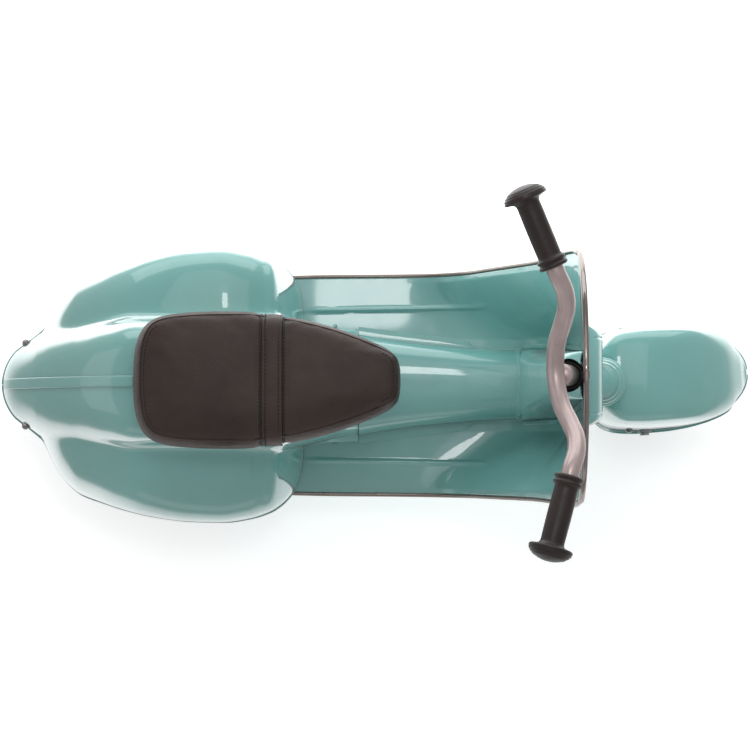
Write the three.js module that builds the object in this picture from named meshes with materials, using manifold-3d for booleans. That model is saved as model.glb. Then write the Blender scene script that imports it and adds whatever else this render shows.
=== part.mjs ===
// Child's foot-to-floor ride-on scooter in pressed sheet steel.
// Millimetres. +X forward, +Y to the rider's left, +Z up, origin on the ground
// under the middle of the bounding box.
import * as THREE from 'three';
import { mergeVertices } from 'three/addons/utils/BufferGeometryUtils.js';
import Module from 'manifold-3d';

const wasm = await Module();
wasm.setup();

// ---------------------------------------------------------------- dimensions
const GAP = 0.3;                 // clearance between touching pieces
const SHEET = 2.0;               // pressed steel, hems included
const WHEEL_R = 75;              // all three wheels
const TYRE_W = 34;
const AXLE_R = 5;
const FRONT_AXLE_X = 278;
const REAR_AXLE_X = -215;
const REAR_WHEEL_Y = 88;
const RAKE = 0.2867;             // steering axis, mm back per mm up (16 deg)
const AXIS_X0 = 173;             // steering axis x at AXIS_Z0
const AXIS_Z0 = 372;
const STEER_REST = 4;            // degrees to the left at rest
const STEM_R = 9.5;
const HEAD_R = 14;
const HEAD_IN_R = 12;
const HEAD_Z0 = 211;
const HEAD_Z1 = 364;
const FLOOR_Z = 82;              // top of the footboard
const FLOOR_REAR_X = -104;
const BEND_R = 85;               // footboard to leg shield
const BEND_X = 107;
const SHIELD_TOP_Z = 398;
const SHIELD_LEAN = 0.0331;
const FRAME_R = 12;              // main tube
const FRAME_Z = 97;
const SEAT_Z0 = 233.4;
const SEAT_Z1 = 272;
const NOSE_HALF_W = 45;
const NOSE_Z0 = 211.5;
const NOSE_Z1 = 382;
const BAR_R = 8;
const GRIP_R = 10.5;
const GRIP_END_R = 19.5;

// ---------------------------------------------------------------- tables
// body plan outline at the rim: x, half width
const RIM_W = [[-382.4, 7], [-381.4, 15], [-378, 22.1], [-373.9, 28.2], [-369.8, 33.4], [-365.6, 37],
  [-357.4, 43.5], [-349.2, 50], [-341, 58.5], [-336.9, 67.8], [-332.8, 76.5], [-328.6, 84.7], [-322.5, 95],
  [-312.2, 106.8], [-302, 114.6], [-281.4, 122.5], [-261, 129.4], [-230, 136.9], [-189, 142], [-155, 142.8],
  [-127, 139], [-107, 132.5], [-97, 126.5], [-86, 116], [-80, 106.5], [-75.5, 94], [-73.2, 79], [-72, 62], [-16, 60]];
// spine half width at the rim
const SPINE_W = [[-382.4, 7], [-381.4, 15], [-378, 22.1], [-373.9, 28.2], [-369.8, 33.4], [-365.6, 37],
  [-357.4, 43.5], [-349.2, 50], [-341, 56], [-325, 63], [-300, 68], [-250, 71], [-100, 70], [-75, 66], [-61, 62.5], [-38, 56.5], [-16, 52]];
// spine top height
const SPINE_Z = [[-382.4, 101.5], [-381.4, 105], [-378, 114], [-374, 120], [-366, 128.5], [-357, 137.5], [-341, 152.5],
  [-325, 166], [-300, 184], [-275, 199.8], [-250, 211.5], [-234, 216.5], [-215, 220], [-190, 221.5], [-110, 221.5], [-92, 218], [-70, 197],
  [-50, 165], [-36, 143], [-25, 134], [-16, 131]];
// cowl height above the rim
const COWL_H = [[-352, 2], [-341, 22], [-333, 43], [-322.5, 60], [-312, 71], [-302, 79], [-281, 91], [-261, 99], [-230, 107],
  [-189, 110], [-155, 110], [-127, 104], [-107, 88], [-97, 74], [-86, 55], [-79, 38], [-74, 20], [-71, 4], [-60, 2]];
// roundness of the two section curves: higher is squarer
const SPINE_N = [[-382.4, 2.3], [-340, 2.4], [-300, 2.7], [-265, 3.4], [-235, 4.4], [-100, 4.4], [-60, 3.6], [-16, 3.4]];
const COWL_N = [[-352, 2.4], [-300, 3.0], [-250, 4.0], [-200, 5.6], [-155, 6.4], [-110, 6], [-90, 4.6], [-72, 3.6]];
// rim height
const RIM_Z = [[-382.4, 97.5], [-366, 94], [-341, 85], [-320, 78], [-290, 73], [-200, 70], [-130, 71], [-112, 75], [-98, 84.6], [-16, 84.6]];
// mudguard: x, half width, top z, rim z (straight ahead)
const MUD_W = [[212.3, 13], [213.6, 21], [216.5, 30], [221, 37], [228, 43.5], [237, 48], [250, 50.8], [275, 52.6], [300, 52.2], [317, 50.8], [337, 47], [348, 43.6],
  [356.6, 40], [362, 36.6], [369, 30], [374, 24], [379, 15.8], [381.8, 6]];
const MUD_TOP = [[212.3, 170], [214, 177], [217, 183], [222, 188], [230, 192], [245, 195], [262, 195], [285, 191], [305, 184], [325, 173.5],
  [343, 160], [358, 146], [369, 133], [377, 122], [381.8, 113]];
const MUD_RIM = [[212.3, 142], [217, 122], [224, 102], [232, 88], [244, 72], [256, 63], [268, 60], [290, 60], [302, 63], [318, 73], [335, 84], [355, 95.5],
  [370, 103], [381.8, 108]];
const MUD_N = [[212.3, 2.6], [225, 3.4], [250, 6], [320, 6], [350, 4.4], [372, 3], [381.8, 2.4]];
// seat cushion outline: x, half width
const SEAT_W = [[-233.5, 46], [-231.5, 53], [-227, 58], [-215, 61.5], [-190, 64.5], [-160, 66.3], [-130, 66.5], [-105, 64.5], [-80, 60.5],
  [-55, 55], [-30, 48], [-5, 38.5], [8, 32], [17, 25.5], [22, 18], [24.4, 9]];
// leg shield half width against height
const SHIELD_W = [[82, 113], [167, 114], [230, 115.2], [290, 118.2], [315, 117.5], [335, 113.5], [352, 105.5], [368, 92], [380, 74], [389, 50], [395, 26], [398, 0.01]];
// footboard half width against x
const FLOOR_W = [[-104, 110.5], [-40, 112], [40, 112.5], [107, 113]];
// long sides of the sheet sweep up in a wider curve than the middle: x, z of the edge, row by row
const SWEEP = [[-104, 82], [-40, 82], [15, 82], [40, 82.8], [62, 86.5], [80, 96], [97, 113], [110, 138], [122.5, 162], [136.5, 187], [150, 211],
  [165, 243], [178.6, 290], [183, 315], [185.6, 335]];
const SWEEP_Y0 = 48, SWEEP_Y1 = 107;
// tunnel and column cover half width
const TUNNEL_W = [[-16, 52], [20, 46], [56, 41.5], [100, 38], [147, 35]];
const COLUMN_W = [[82, 36], [130, 34.5], [200, 30], [300, 24.5], [360, 21.5], [386, 20.5]];

function pchip(t, x) {
  const n = t.length;
  if (x <= t[0][0]) return t[0][1];
  if (x >= t[n - 1][0]) return t[n - 1][1];
  let i = 0;
  while (x > t[i + 1][0]) i++;
  const d = k => (t[k + 1][1] - t[k][1]) / (t[k + 1][0] - t[k][0]);
  const slope = k => {
    if (k === 0) return d(0);
    if (k === n - 1) return d(n - 2);
    const a = d(k - 1), b = d(k);
    if (a * b <= 0) return 0;
    const h0 = t[k][0] - t[k - 1][0], h1 = t[k + 1][0] - t[k][0];
    const w1 = 2 * h1 + h0, w2 = h1 + 2 * h0;
    return (w1 + w2) / (w1 / a + w2 / b);
  };
  const h = t[i + 1][0] - t[i][0], s = (x - t[i][0]) / h;
  const m0 = slope(i) * h, m1 = slope(i + 1) * h;
  const s2 = s * s, s3 = s2 * s;
  return (2 * s3 - 3 * s2 + 1) * t[i][1] + (s3 - 2 * s2 + s) * m0 + (3 * s2 - 2 * s3) * t[i + 1][1] + (s3 - s2) * m1;
}

// ---------------------------------------------------------------- solids
const V = (x, y, z) => new THREE.Vector3(x, y, z);
const TAU = Math.PI * 2;

function toSolid(geometry) {
  let g = geometry.clone();
  g.deleteAttribute('normal');
  if (g.getAttribute('uv')) g.deleteAttribute('uv');
  g = mergeVertices(g, 1e-4);
  const p = g.getAttribute('position').array;
  let idx = Array.from(g.getIndex().array);
  const keep = [];
  for (let i = 0; i < idx.length; i += 3) {
    if (idx[i] !== idx[i + 1] && idx[i + 1] !== idx[i + 2] && idx[i] !== idx[i + 2]) keep.push(idx[i], idx[i + 1], idx[i + 2]);
  }
  let vol = 0;
  for (let i = 0; i < keep.length; i += 3) {
    const [a, b, c] = [keep[i] * 3, keep[i + 1] * 3, keep[i + 2] * 3];
    vol += p[a] * (p[b + 1] * p[c + 2] - p[b + 2] * p[c + 1]) - p[a + 1] * (p[b] * p[c + 2] - p[b + 2] * p[c]) + p[a + 2] * (p[b] * p[c + 1] - p[b + 1] * p[c]);
  }
  if (vol < 0) for (let i = 0; i < keep.length; i += 3) [keep[i], keep[i + 1]] = [keep[i + 1], keep[i]];
  return new wasm.Manifold(new wasm.Mesh({ numProp: 3, vertProperties: new Float32Array(p), triVerts: new Uint32Array(keep) }));
}

function toGeometry(solid) {
  const m = solid.getMesh();
  const g = new THREE.BufferGeometry();
  g.setAttribute('position', new THREE.BufferAttribute(new Float32Array(m.vertProperties), 3));
  g.setIndex(Array.from(m.triVerts));
  g.computeVertexNormals();
  return g;
}

function tris(points, faces) {
  const g = new THREE.BufferGeometry();
  g.setAttribute('position', new THREE.Float32BufferAttribute(points.flatMap(p => [p.x, p.y, p.z]), 3));
  g.setIndex(faces.flat());
  g.computeVertexNormals();
  return g;
}

// thin closed sheet between two grids of the same size
function sheet(outer, inner) {
  const R = outer.length, C = outer[0].length, pts = [...outer.flat(), ...inner.flat()], f = [];
  const a = (i, j) => i * C + j, b = (i, j) => R * C + i * C + j;
  for (let i = 0; i < R - 1; i++) for (let j = 0; j < C - 1; j++) {
    f.push([a(i, j), a(i + 1, j), a(i + 1, j + 1)], [a(i, j), a(i + 1, j + 1), a(i, j + 1)]);
    f.push([b(i, j), b(i + 1, j + 1), b(i + 1, j)], [b(i, j), b(i, j + 1), b(i + 1, j + 1)]);
  }
  for (let i = 0; i < R - 1; i++) {
    f.push([a(i, 0), b(i, 0), b(i + 1, 0)], [a(i, 0), b(i + 1, 0), a(i + 1, 0)]);
    f.push([a(i, C - 1), a(i + 1, C - 1), b(i + 1, C - 1)], [a(i, C - 1), b(i + 1, C - 1), b(i, C - 1)]);
  }
  for (let j = 0; j < C - 1; j++) {
    f.push([a(0, j), a(0, j + 1), b(0, j + 1)], [a(0, j), b(0, j + 1), b(0, j)]);
    f.push([a(R - 1, j), b(R - 1, j), b(R - 1, j + 1)], [a(R - 1, j), b(R - 1, j + 1), a(R - 1, j + 1)]);
  }
  return tris(pts, f);
}

// solid through a row of closed rings, ends closed by a fan
function loft(rings) {
  const n = rings[0].length, pts = rings.flat(), f = [];
  for (let i = 0; i < rings.length - 1; i++) for (let j = 0; j < n; j++) {
    const k = (j + 1) % n;
    f.push([i * n + j, (i + 1) * n + j, (i + 1) * n + k], [i * n + j, (i + 1) * n + k, i * n + k]);
  }
  const mid = r => r.reduce((s, p) => s.add(p), V(0, 0, 0)).divideScalar(n);
  const c0 = pts.push(mid(rings[0])) - 1, c1 = pts.push(mid(rings[rings.length - 1])) - 1, e = (rings.length - 1) * n;
  for (let j = 0; j < n; j++) {
    const k = (j + 1) % n;
    f.push([c0, j, k], [c1, e + k, e + j]);
  }
  return tris(pts, f);
}

const along = (geometry, from, to) => {   // cylinder geometry (Y axis) laid between two points
  const d = to.clone().sub(from);
  const q = new THREE.Quaternion().setFromUnitVectors(V(0, 1, 0), d.clone().normalize());
  geometry.applyQuaternion(q);
  const m = from.clone().add(to).multiplyScalar(0.5);
  geometry.translate(m.x, m.y, m.z);
  return geometry;
};
const rod = (from, to, r, sides = 16, r2 = r) => toSolid(along(new THREE.CylinderGeometry(r2, r, from.distanceTo(to), sides), from, to));
const block = (x0, x1, y0, y1, z0, z1) => {
  const g = new THREE.BoxGeometry(x1 - x0, y1 - y0, z1 - z0);
  g.translate((x0 + x1) / 2, (y0 + y1) / 2, (z0 + z1) / 2);
  return toSolid(g);
};
// lathe about the line from a point along a direction; profile = [radius, distance]
function turned(profile, from, dir, sides = 24) {
  const g = new THREE.LatheGeometry(profile.map(p => new THREE.Vector2(p[0], p[1])), sides);
  g.applyQuaternion(new THREE.Quaternion().setFromUnitVectors(V(0, 1, 0), dir.clone().normalize()));
  g.translate(from.x, from.y, from.z);
  return toSolid(g);
}
// round tube along a curve
function pipe(points, r, steps, sides = 12, type = 'catmullrom') {
  const curve = new THREE.CatmullRomCurve3(points, false, type, 0.5);
  const s = new THREE.Shape();
  for (let i = 0; i < sides; i++) {
    const t = (i + 0.5) / sides * TAU;
    i ? s.lineTo(r * Math.cos(t), r * Math.sin(t)) : s.moveTo(r * Math.cos(t), r * Math.sin(t));
  }
  s.closePath();
  return toSolid(new THREE.ExtrudeGeometry(s, { steps, bevelEnabled: false, extrudePath: curve }));
}
const union = list => list.reduce((a, b) => a.add(b));

// ---------------------------------------------------------------- steering axis
const axisX = z => AXIS_X0 + (AXIS_Z0 - z) * RAKE;
const onAxis = z => V(axisX(z), 0, z);
const AXIS = V(-RAKE, 0, 1).normalize();

// ---------------------------------------------------------------- body shells
// One transverse section: the tall narrow spine and the wide low cowls, both
// superellipses about the middle of the rim, blended by a soft maximum.
function bodyPoint(x, deg, off) {
  const z0 = pchip(RIM_Z, x), t = deg * Math.PI / 180, c = Math.cos(t), s = Math.sin(t);
  const sup = (a, h, n) => 1 / Math.pow(Math.pow(Math.abs(c) / a, n) + Math.pow(Math.abs(s) / h, n), 1 / n);
  const a = Math.max(0.6, pchip(SPINE_W, x) - off), h = Math.max(0.6, pchip(SPINE_Z, x) - z0 - off);
  let r = sup(a, h, pchip(SPINE_N, x));
  const w = pchip(RIM_W, x) - off, ch = pchip(COWL_H, x) - off;
  if (ch > 0.8) {
    const rc = sup(Math.max(1, w), ch, pchip(COWL_N, x)), k = 22;
    r = Math.pow(Math.pow(r, k) + Math.pow(rc, k), 1 / k);
  }
  return V(x, r * c, z0 + r * s);
}
const BODY_X = [-382.4, -381, -376, -368, -357, -346, -338, -330, -318, -300, -270, -235, -190, -135,
  -107, -90, -79, -72, -50, -33, -16];
const BODY_DEG = [0, 14, 27, 38, 48, 56, 62, 67, 72, 80, 89.9];
function bodyShell(side) {
  const outer = [], inner = [];
  for (const x of BODY_X) {
    const xi = x < -300 ? x + SHEET * (-300 - x) / 82.4 : x;
    outer.push(BODY_DEG.map(d => { const p = bodyPoint(x, d, 0); return V(p.x, side * Math.max(GAP / 2, p.y), p.z); }));
    inner.push(BODY_DEG.map(d => { const p = bodyPoint(xi, d, SHEET); return V(p.x, side * Math.max(GAP / 2, p.y), p.z); }));
  }
  return toSolid(sheet(outer, inner));
}
const shells = { 1: bodyShell(1), [-1]: bodyShell(-1) };

// ---------------------------------------------------------------- footboard and leg shield
// profile of the rider-side face, from the rear edge of the floor to the top of the shield
function sheetProfile() {
  const p = [];
  for (const x of [FLOOR_REAR_X, -40, 20, 70]) p.push({ x, z: FLOOR_Z, nx: 0, nz: 1, w: pchip(FLOOR_W, x), sag: 0 });
  for (let i = 0; i <= 6; i++) {
    const t = i / 6 * (Math.PI / 2);
    p.push({ x: BEND_X + BEND_R * Math.sin(t), z: FLOOR_Z + BEND_R - BEND_R * Math.cos(t), nx: -Math.sin(t), nz: Math.cos(t), w: 113 + i / 6, sag: 0 });
  }
  for (const z of [230, 290, 315, 335, 352, 368, 380, 389, 395, 398]) {
    p.push({ x: BEND_X + BEND_R - (z - FLOOR_Z - BEND_R) * SHIELD_LEAN, z, nx: -1, nz: -SHIELD_LEAN, w: pchip(SHIELD_W, z), sag: 0.5 });
  }
  return p;
}
const shieldX = z => (z < FLOOR_Z + BEND_R ? BEND_X + Math.sqrt(Math.max(0, BEND_R * BEND_R - (FLOOR_Z + BEND_R - z) ** 2)) : BEND_X + BEND_R - (z - FLOOR_Z - BEND_R) * SHIELD_LEAN);
const FLOOR_T = [-1, -0.95, -0.84, -0.7, -0.56, -0.42, 0, 0.42, 0.56, 0.7, 0.84, 0.95, 1];
// point of the rider-side face on row i at a distance y from the middle
function sheetPoint(prof, i, y) {
  const q = prof[i], bow = q.sag * (1 - (y / 118) ** 2);
  if (i >= SWEEP.length) return V(q.x + bow, y, q.z);
  const k = Math.min(1, Math.max(0, (Math.abs(y) - SWEEP_Y0) / (SWEEP_Y1 - SWEEP_Y0)));
  return V((q.x + bow) * (1 - k) + SWEEP[i][0] * k, y, q.z * (1 - k) + SWEEP[i][1] * k);
}
// unit normal there, away from the rider
function sheetNormal(prof, i, y) {
  const a = sheetPoint(prof, Math.max(0, i - 1), y), b = sheetPoint(prof, Math.min(prof.length - 1, i + 1), y);
  return V(b.z - a.z, 0, a.x - b.x).normalize();
}
function floorSheet() {
  const prof = sheetProfile(), top = [], under = [];
  prof.forEach((q, i) => {
    const row = FLOOR_T.map(t => sheetPoint(prof, i, t * Math.max(q.w, 1.2)));
    top.push(row);
    under.push(row.map(p => p.clone().addScaledVector(sheetNormal(prof, i, p.y), SHEET)));
  });
  return toSolid(sheet(top, under));
}
const sheetHeight = (x, y) => {
  const prof = sheetProfile();
  for (let i = 1; i < prof.length; i++) {
    const a = sheetPoint(prof, i - 1, y), b = sheetPoint(prof, i, y);
    if (x <= b.x) return a.z + (b.z - a.z) * (x - a.x) / (b.x - a.x);
  }
  return FLOOR_Z;
};
// turned-down flange along each side of the floor and round the bend
function sideFlange(side) {
  const prof = sheetProfile(), rings = [];
  for (let i = 0; i < 12; i++) {
    const w = prof[i].w, p = sheetPoint(prof, i, side * w), n = sheetNormal(prof, i, side * w), d = i < 11 ? 12 : 6;
    const at = (y, k) => V(p.x + n.x * k, side * y, p.z + n.z * k);
    rings.push([at(w - 1, 1), at(w, 0), at(w + 1.6, 0), at(w + 1.6, d), at(w, d)]);
  }
  return toSolid(loft(rings));
}
const headClear = rod(onAxis(200), onAxis(372), HEAD_R + GAP + 0.15, 16);
let floor = union([floorSheet(), sideFlange(1), sideFlange(-1)]).subtract(headClear).subtract(rod(onAxis(364), onAxis(376), 14.9, 24));

// raised ribs pressed in the floor
const ribs = [];
for (const s of [1, -1]) {
  for (const [y, x0, x1, y1, w] of [[77, -66, 112, 77, 2.6], [42.5, 10, 96, 37.5, 2.2]]) {
    const rings = [];
    for (const [x, k] of [[x0, 0.25], [x0 + 14, 1], [30, 1], [70, 1], [85, 1], [x1 - 14, 1], [x1, 0.25]]) {
      const yy = y + (y1 - y) * (x - x0) / (x1 - x0);
      if (y < 50) continue;
      const zz = sheetHeight(x, yy);
      rings.push([V(x, s * yy - w * k, zz - 0.8), V(x, s * yy + w * k, zz - 0.8), V(x, s * yy + w * k * 0.5, zz + 1.6 * k), V(x, s * yy - w * k * 0.5, zz + 1.6 * k)]);
    }
    if (rings.length) ribs.push(toSolid(loft(rings)));
  }
}
floor = union([floor, ...ribs]);

// ---------------------------------------------------------------- main frame
const framePath = [];
framePath.push(V(-318, 0, FRAME_Z), V(-100, 0, FRAME_Z), V(BEND_X, 0, FRAME_Z));
const innerBend = BEND_R - FRAME_R - 3;
let frame = union([
  rod(V(-318, 0, FRAME_Z), V(BEND_X + 4, 0, FRAME_Z), FRAME_R, 12),
  pipe(Array.from({ length: 9 }, (_, i) => { const t = i / 8 * Math.PI / 2; return V(BEND_X + innerBend * Math.sin(t), 0, FLOOR_Z + BEND_R - innerBend * Math.cos(t)); }), FRAME_R, 6, 12),
  rod(V(BEND_X + innerBend, 0, FLOOR_Z + BEND_R - 2), V(BEND_X + innerBend - 162 * SHIELD_LEAN, 0, 329), FRAME_R, 12),
]);
// the horizontal run is lifted so it rests just above the floor sheet
const seatPosts = [];
for (const x of [-114, -172]) seatPosts.push(block(x - 11, x + 11, -13, 13, FRAME_Z + 6, 210), block(x - 13, x + 13, -30, 30, 209, 212));
const crossTubes = [rod(V(-150, -62, FRAME_Z - 2), V(-150, 62, FRAME_Z - 2), 8, 12), rod(V(-300, -50, FRAME_Z - 2), V(-300, 50, FRAME_Z - 2), 8, 12)];
frame = union([frame, ...seatPosts, ...crossTubes]).subtract(rod(onAxis(200), onAxis(372), HEAD_R + GAP, 24));

// ---------------------------------------------------------------- head tube, bushes, grommet
const ringProfile = (ri, ro, a, b) => [[ri, a], [ro, a], [ro, b], [ri, b], [ri, a]];
const L = (z0, z1) => (z1 - z0) * Math.sqrt(1 + RAKE * RAKE);
const headTube = turned(ringProfile(HEAD_IN_R, HEAD_R, 0, L(HEAD_Z0, HEAD_Z1)), onAxis(HEAD_Z0), AXIS, 24);
const bush = (z, up) => turned(up
  ? [[9.85, -14], [HEAD_IN_R - GAP, -14], [HEAD_IN_R - GAP, GAP], [HEAD_R, GAP], [HEAD_R, 2.6], [9.85, 2.6], [9.85, -14]]
  : [[9.85, 14], [9.85, -2.6], [HEAD_R, -2.6], [HEAD_R, -GAP], [HEAD_IN_R - GAP, -GAP], [HEAD_IN_R - GAP, 14], [9.85, 14]], onAxis(z), AXIS, 18);
const grommet = turned([[10.2, 0], [13.6, 0], [14.4, 2], [13.4, 4.6], [10.2, 5.4], [10.2, 0]], onAxis(HEAD_Z1 + 3.2), AXIS, 18);

// ---------------------------------------------------------------- covers
function tunnel() {
  const top = [], low = [];
  for (const x of [-16 + GAP, 0, 25, 60, 95, BEND_X + 6, 130, 146.6]) {
    const w = pchip(TUNNEL_W, x), zb = (x > BEND_X ? FLOOR_Z + BEND_R - Math.sqrt(BEND_R ** 2 - (x - BEND_X) ** 2) : FLOOR_Z) + GAP + 0.5, zt = 131;
    const sec = off => Array.from({ length: 13 }, (_, i) => {
      const t = Math.PI * i / 12, c = Math.cos(t), s = Math.sin(t), n = 3.2;
      const a = w - off, h = zt - zb - off;
      const r = 1 / Math.pow(Math.pow(Math.abs(c) / a, n) + Math.pow(Math.abs(s) / h, n), 1 / n);
      return V(x, r * c, zb + r * s);
    });
    top.push(sec(0)); low.push(sec(SHEET - 0.4));
  }
  return toSolid(sheet(top, low));
}
// column cover: half-round-cornered channel standing on the rider's side of the leg shield
const COL_REAR = [[96, 147], [131, 147.2], [140, 148.4], [170, 151], [230, 154], [300, 156.5], [352, 158.5], [366, 161.5], [376, 167.5], [382, 174.5], [386, 181]];
function columnCover() {
  const out = [], inn = [];
  for (const z of [97, 112, 131, 150, 190, 240, 300, 345, 362, 372, 380, 385]) {
    const w = pchip(COLUMN_W, z), xf = shieldX(z) - GAP - (z < 140 ? 2.2 : 0.4), xr = pchip(COL_REAR, z);
    const sec = off => Array.from({ length: 13 }, (_, i) => {
      const t = Math.PI / 2 + Math.PI * i / 12, c = Math.cos(t), s = Math.sin(t), n = 3.0;
      const a = Math.max(1.2, xf - xr - off), b = w - off;
      const r = 1 / Math.pow(Math.pow(Math.abs(c) / a, n) + Math.pow(Math.abs(s) / b, n), 1 / n);
      return V(xf + r * c, r * s, z);
    });
    out.push(sec(0)); inn.push(sec(SHEET - 0.4));
  }
  return toSolid(sheet(out, inn));
}
const tubeClear = union([
  rod(V(60, 0, FRAME_Z), V(BEND_X + 4, 0, FRAME_Z), FRAME_R + 1.4, 12),
  pipe(Array.from({ length: 9 }, (_, i) => { const t = i / 8 * Math.PI / 2; return V(BEND_X + innerBend * Math.sin(t), 0, FLOOR_Z + BEND_R - innerBend * Math.cos(t)); }), FRAME_R + 1.4, 6, 12),
]);
const stemClear = rod(onAxis(340), onAxis(400), 15, 16);
const column = columnCover().subtract(tubeClear).subtract(stemClear).subtract(block(140, 149.4, -27, 27, 90, 124));

function nose() {
  const out = [], inn = [];
  const ys = [-1, -0.94, -0.82, -0.6, -0.36, -0.26, -0.13, 0, 0.13, 0.26, 0.36, 0.6, 0.82, 0.94, 1];
  for (const z of [NOSE_Z0, 240, 280, 320, 350, 366, 375, NOSE_Z1]) {
    const top = z > 350 ? Math.sqrt(Math.max(0.02, 1 - ((z - 350) / (NOSE_Z1 + 0.5 - 350)) ** 2.2)) : 1;
    const xs = shieldX(z) + SHEET + 0.9 + GAP;
    const row = off => ys.map(t => {
      const hw = NOSE_HALF_W - off, y = t * hw, e = Math.abs(t) >= 0.999 ? 0 : Math.abs(t) > 0.93 ? 0.55 : Math.abs(t) > 0.8 ? 0.82 : 1;
      let x = xs + Math.max(0.4, (16 * e * top) - off);
      const br = 17.4 - off, dy = Math.abs(y);
      if (dy < br) x = Math.max(x, axisX(z) + Math.sqrt(br * br - dy * dy) * (z > 350 ? top : 1));
      return V(x, y, z);
    });
    out.push(row(0)); inn.push(row(1.6));
  }
  return toSolid(sheet(out, inn)).subtract(rod(onAxis(190), onAxis(372), HEAD_R + GAP, 24));
}

// ---------------------------------------------------------------- edge trim
// U-section chrome bead clipped over the edge of the leg shield
const TRIM_ROW = 11.6;
function edgeAt(prof, i, side) {   // edge point and normal of the sheet at a row, rows may be fractional
  const a = Math.floor(i), k = i - a, e = j => ({ p: sheetPoint(prof, j, side * prof[j].w), n: sheetNormal(prof, j, side * prof[j].w) });
  const u = e(a);
  if (!k) return u;
  const v = e(a + 1);
  return { p: u.p.lerp(v.p, k), n: u.n.lerp(v.n, k).normalize() };
}
function trimHalf(side) {
  const prof = sheetProfile(), rings = [], pts = [], norm = [];
  for (const i of [TRIM_ROW, 12, 13, 14, 15, 16, 17, 18, 19]) {
    const e = edgeAt(prof, i, side);
    pts.push(e.p.addScaledVector(e.n, SHEET / 2)); norm.push(e.n);
  }
  pts.push(V(shieldX(398) + 0.5 + SHEET / 2, side * 14, 398.4), V(shieldX(398) + 0.5 + SHEET / 2 + 0.05, side * 7.4, 399.4));
  norm.push(V(1, 0, 0), V(1, 0, 0));
  for (let i = 0; i < pts.length; i++) {
    const a = pts[Math.max(0, i - 1)], b = pts[Math.min(pts.length - 1, i + 1)];
    const t = b.clone().sub(a).normalize(), n = norm[i], o = t.clone().cross(n).normalize().multiplyScalar(side > 0 ? 1 : -1);
    if (o.y * side < 0 && Math.abs(o.y) > 0.3) o.negate();
    if (o.z < -0.2) o.negate();
    const at = (u, v) => pts[i].clone().addScaledVector(n, u).addScaledVector(o, v);
    // outer outline then back along the inside of the slot
    rings.push([at(-3.0, -4.5), at(-3.2, 0.6), at(-1.9, 2.7), at(1.9, 2.7), at(3.2, 0.6), at(3.0, -4.5), at(1.5, -4.5), at(1.5, 0.55), at(-1.5, 0.55), at(-1.5, -4.5)]);
  }
  return uLoft(rings);
}
// loft of a U outline (10 points); its ends are closed with strips that follow the U
function uLoft(rings) {
  const n = 10, pts = rings.flat(), f = [];
  for (let i = 0; i < rings.length - 1; i++) for (let j = 0; j < n; j++) {
    const k = (j + 1) % n;
    f.push([i * n + j, (i + 1) * n + j, (i + 1) * n + k], [i * n + j, (i + 1) * n + k, i * n + k]);
  }
  const cap = [[0, 1, 8], [0, 8, 9], [1, 2, 8], [2, 3, 7], [2, 7, 8], [3, 4, 7], [4, 5, 6], [4, 6, 7]];
  const e = (rings.length - 1) * n;
  for (const [a, b, c] of cap) { f.push([a, b, c]); f.push([e + c, e + b, e + a]); }
  return toSolid(tris(pts, f));
}
const trims = { 1: trimHalf(1), [-1]: trimHalf(-1) };

// ---------------------------------------------------------------- seat
function ringFromTable(table, inset, z, sq = 1) {
  const x0 = table[0][0], x1 = table[table.length - 1][0], xm = (x0 + x1) / 2, L2 = (x1 - x0) / 2;
  const pts = [];
  const xs = table.map(r => r[0]);
  const right = xs.map(x => [xm + (x - xm) * (L2 - inset) / L2, pchip(table, x) - inset * 0.9]);
  for (const [x, w] of right) pts.push(V(x, -Math.max(1, w), z));
  for (const [x, w] of right.reverse()) pts.push(V(x, Math.max(1, w), z));
  return pts;
}
const STRAP_OUT = [[-61.8, 229], [-61.2, 236], [-59.4, 250], [-56.4, 262], [-51, 268.6], [-40, 271.3], [0, 271.9], [40, 271.3], [51, 268.6], [56.4, 262], [59.4, 250], [61.2, 236], [61.8, 229]];
const STRAP_IN = [[-59.9, 229], [-59.3, 236], [-57.5, 249.4], [-54.4, 260.6], [-49.8, 266.7], [-39.6, 269.2], [0, 269.8], [39.6, 269.2], [49.8, 266.7], [54.4, 260.6], [57.5, 249.4], [59.3, 236], [59.9, 229]];
const band = (x0, x1, outer, inner) => toSolid(sheet([x0, x1].map(x => outer.map(p => V(x, p[0], p[1]))), [x0, x1].map(x => inner.map(p => V(x, p[0], p[1])))));
const strapSolid = band(-108.8, -89.2, STRAP_OUT, STRAP_IN);
const strapSlot = band(-109.5, -88.5, STRAP_OUT.map(p => [p[0] * 1.4, p[1] + 12 - (Math.abs(p[0]) > 58 ? 14 : 0)]), STRAP_IN.map(p => [p[0] - Math.sign(p[0]) * 0.5, p[1] - (Math.abs(p[0]) < 57 ? 0.5 : 0) - (Math.abs(p[0]) > 59.8 ? 4 : 0)]));
const cushion = toSolid(loft([ringFromTable(SEAT_W, 2, SEAT_Z0), ringFromTable(SEAT_W, 0, SEAT_Z0 + 8), ringFromTable(SEAT_W, 2, SEAT_Z0 + 24), ringFromTable(SEAT_W, 7, SEAT_Z1 - 6), ringFromTable(SEAT_W, 13, SEAT_Z1 - 1), ringFromTable(SEAT_W, 22, SEAT_Z1)]))
  .subtract(strapSlot);
const pan = toSolid(loft([ringFromTable(SEAT_W, 5, 223.8), ringFromTable(SEAT_W, 3, 226.4), ringFromTable(SEAT_W, 3, SEAT_Z0 - GAP)]))
  .subtract(toSolid(loft([ringFromTable(SEAT_W, 12, 226.3), ringFromTable(SEAT_W, 12, 240)])))
  .subtract(block(-110, -88, -80, -58.6, 220, 240)).subtract(block(-110, -88, 58.6, 80, 220, 240));

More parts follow.
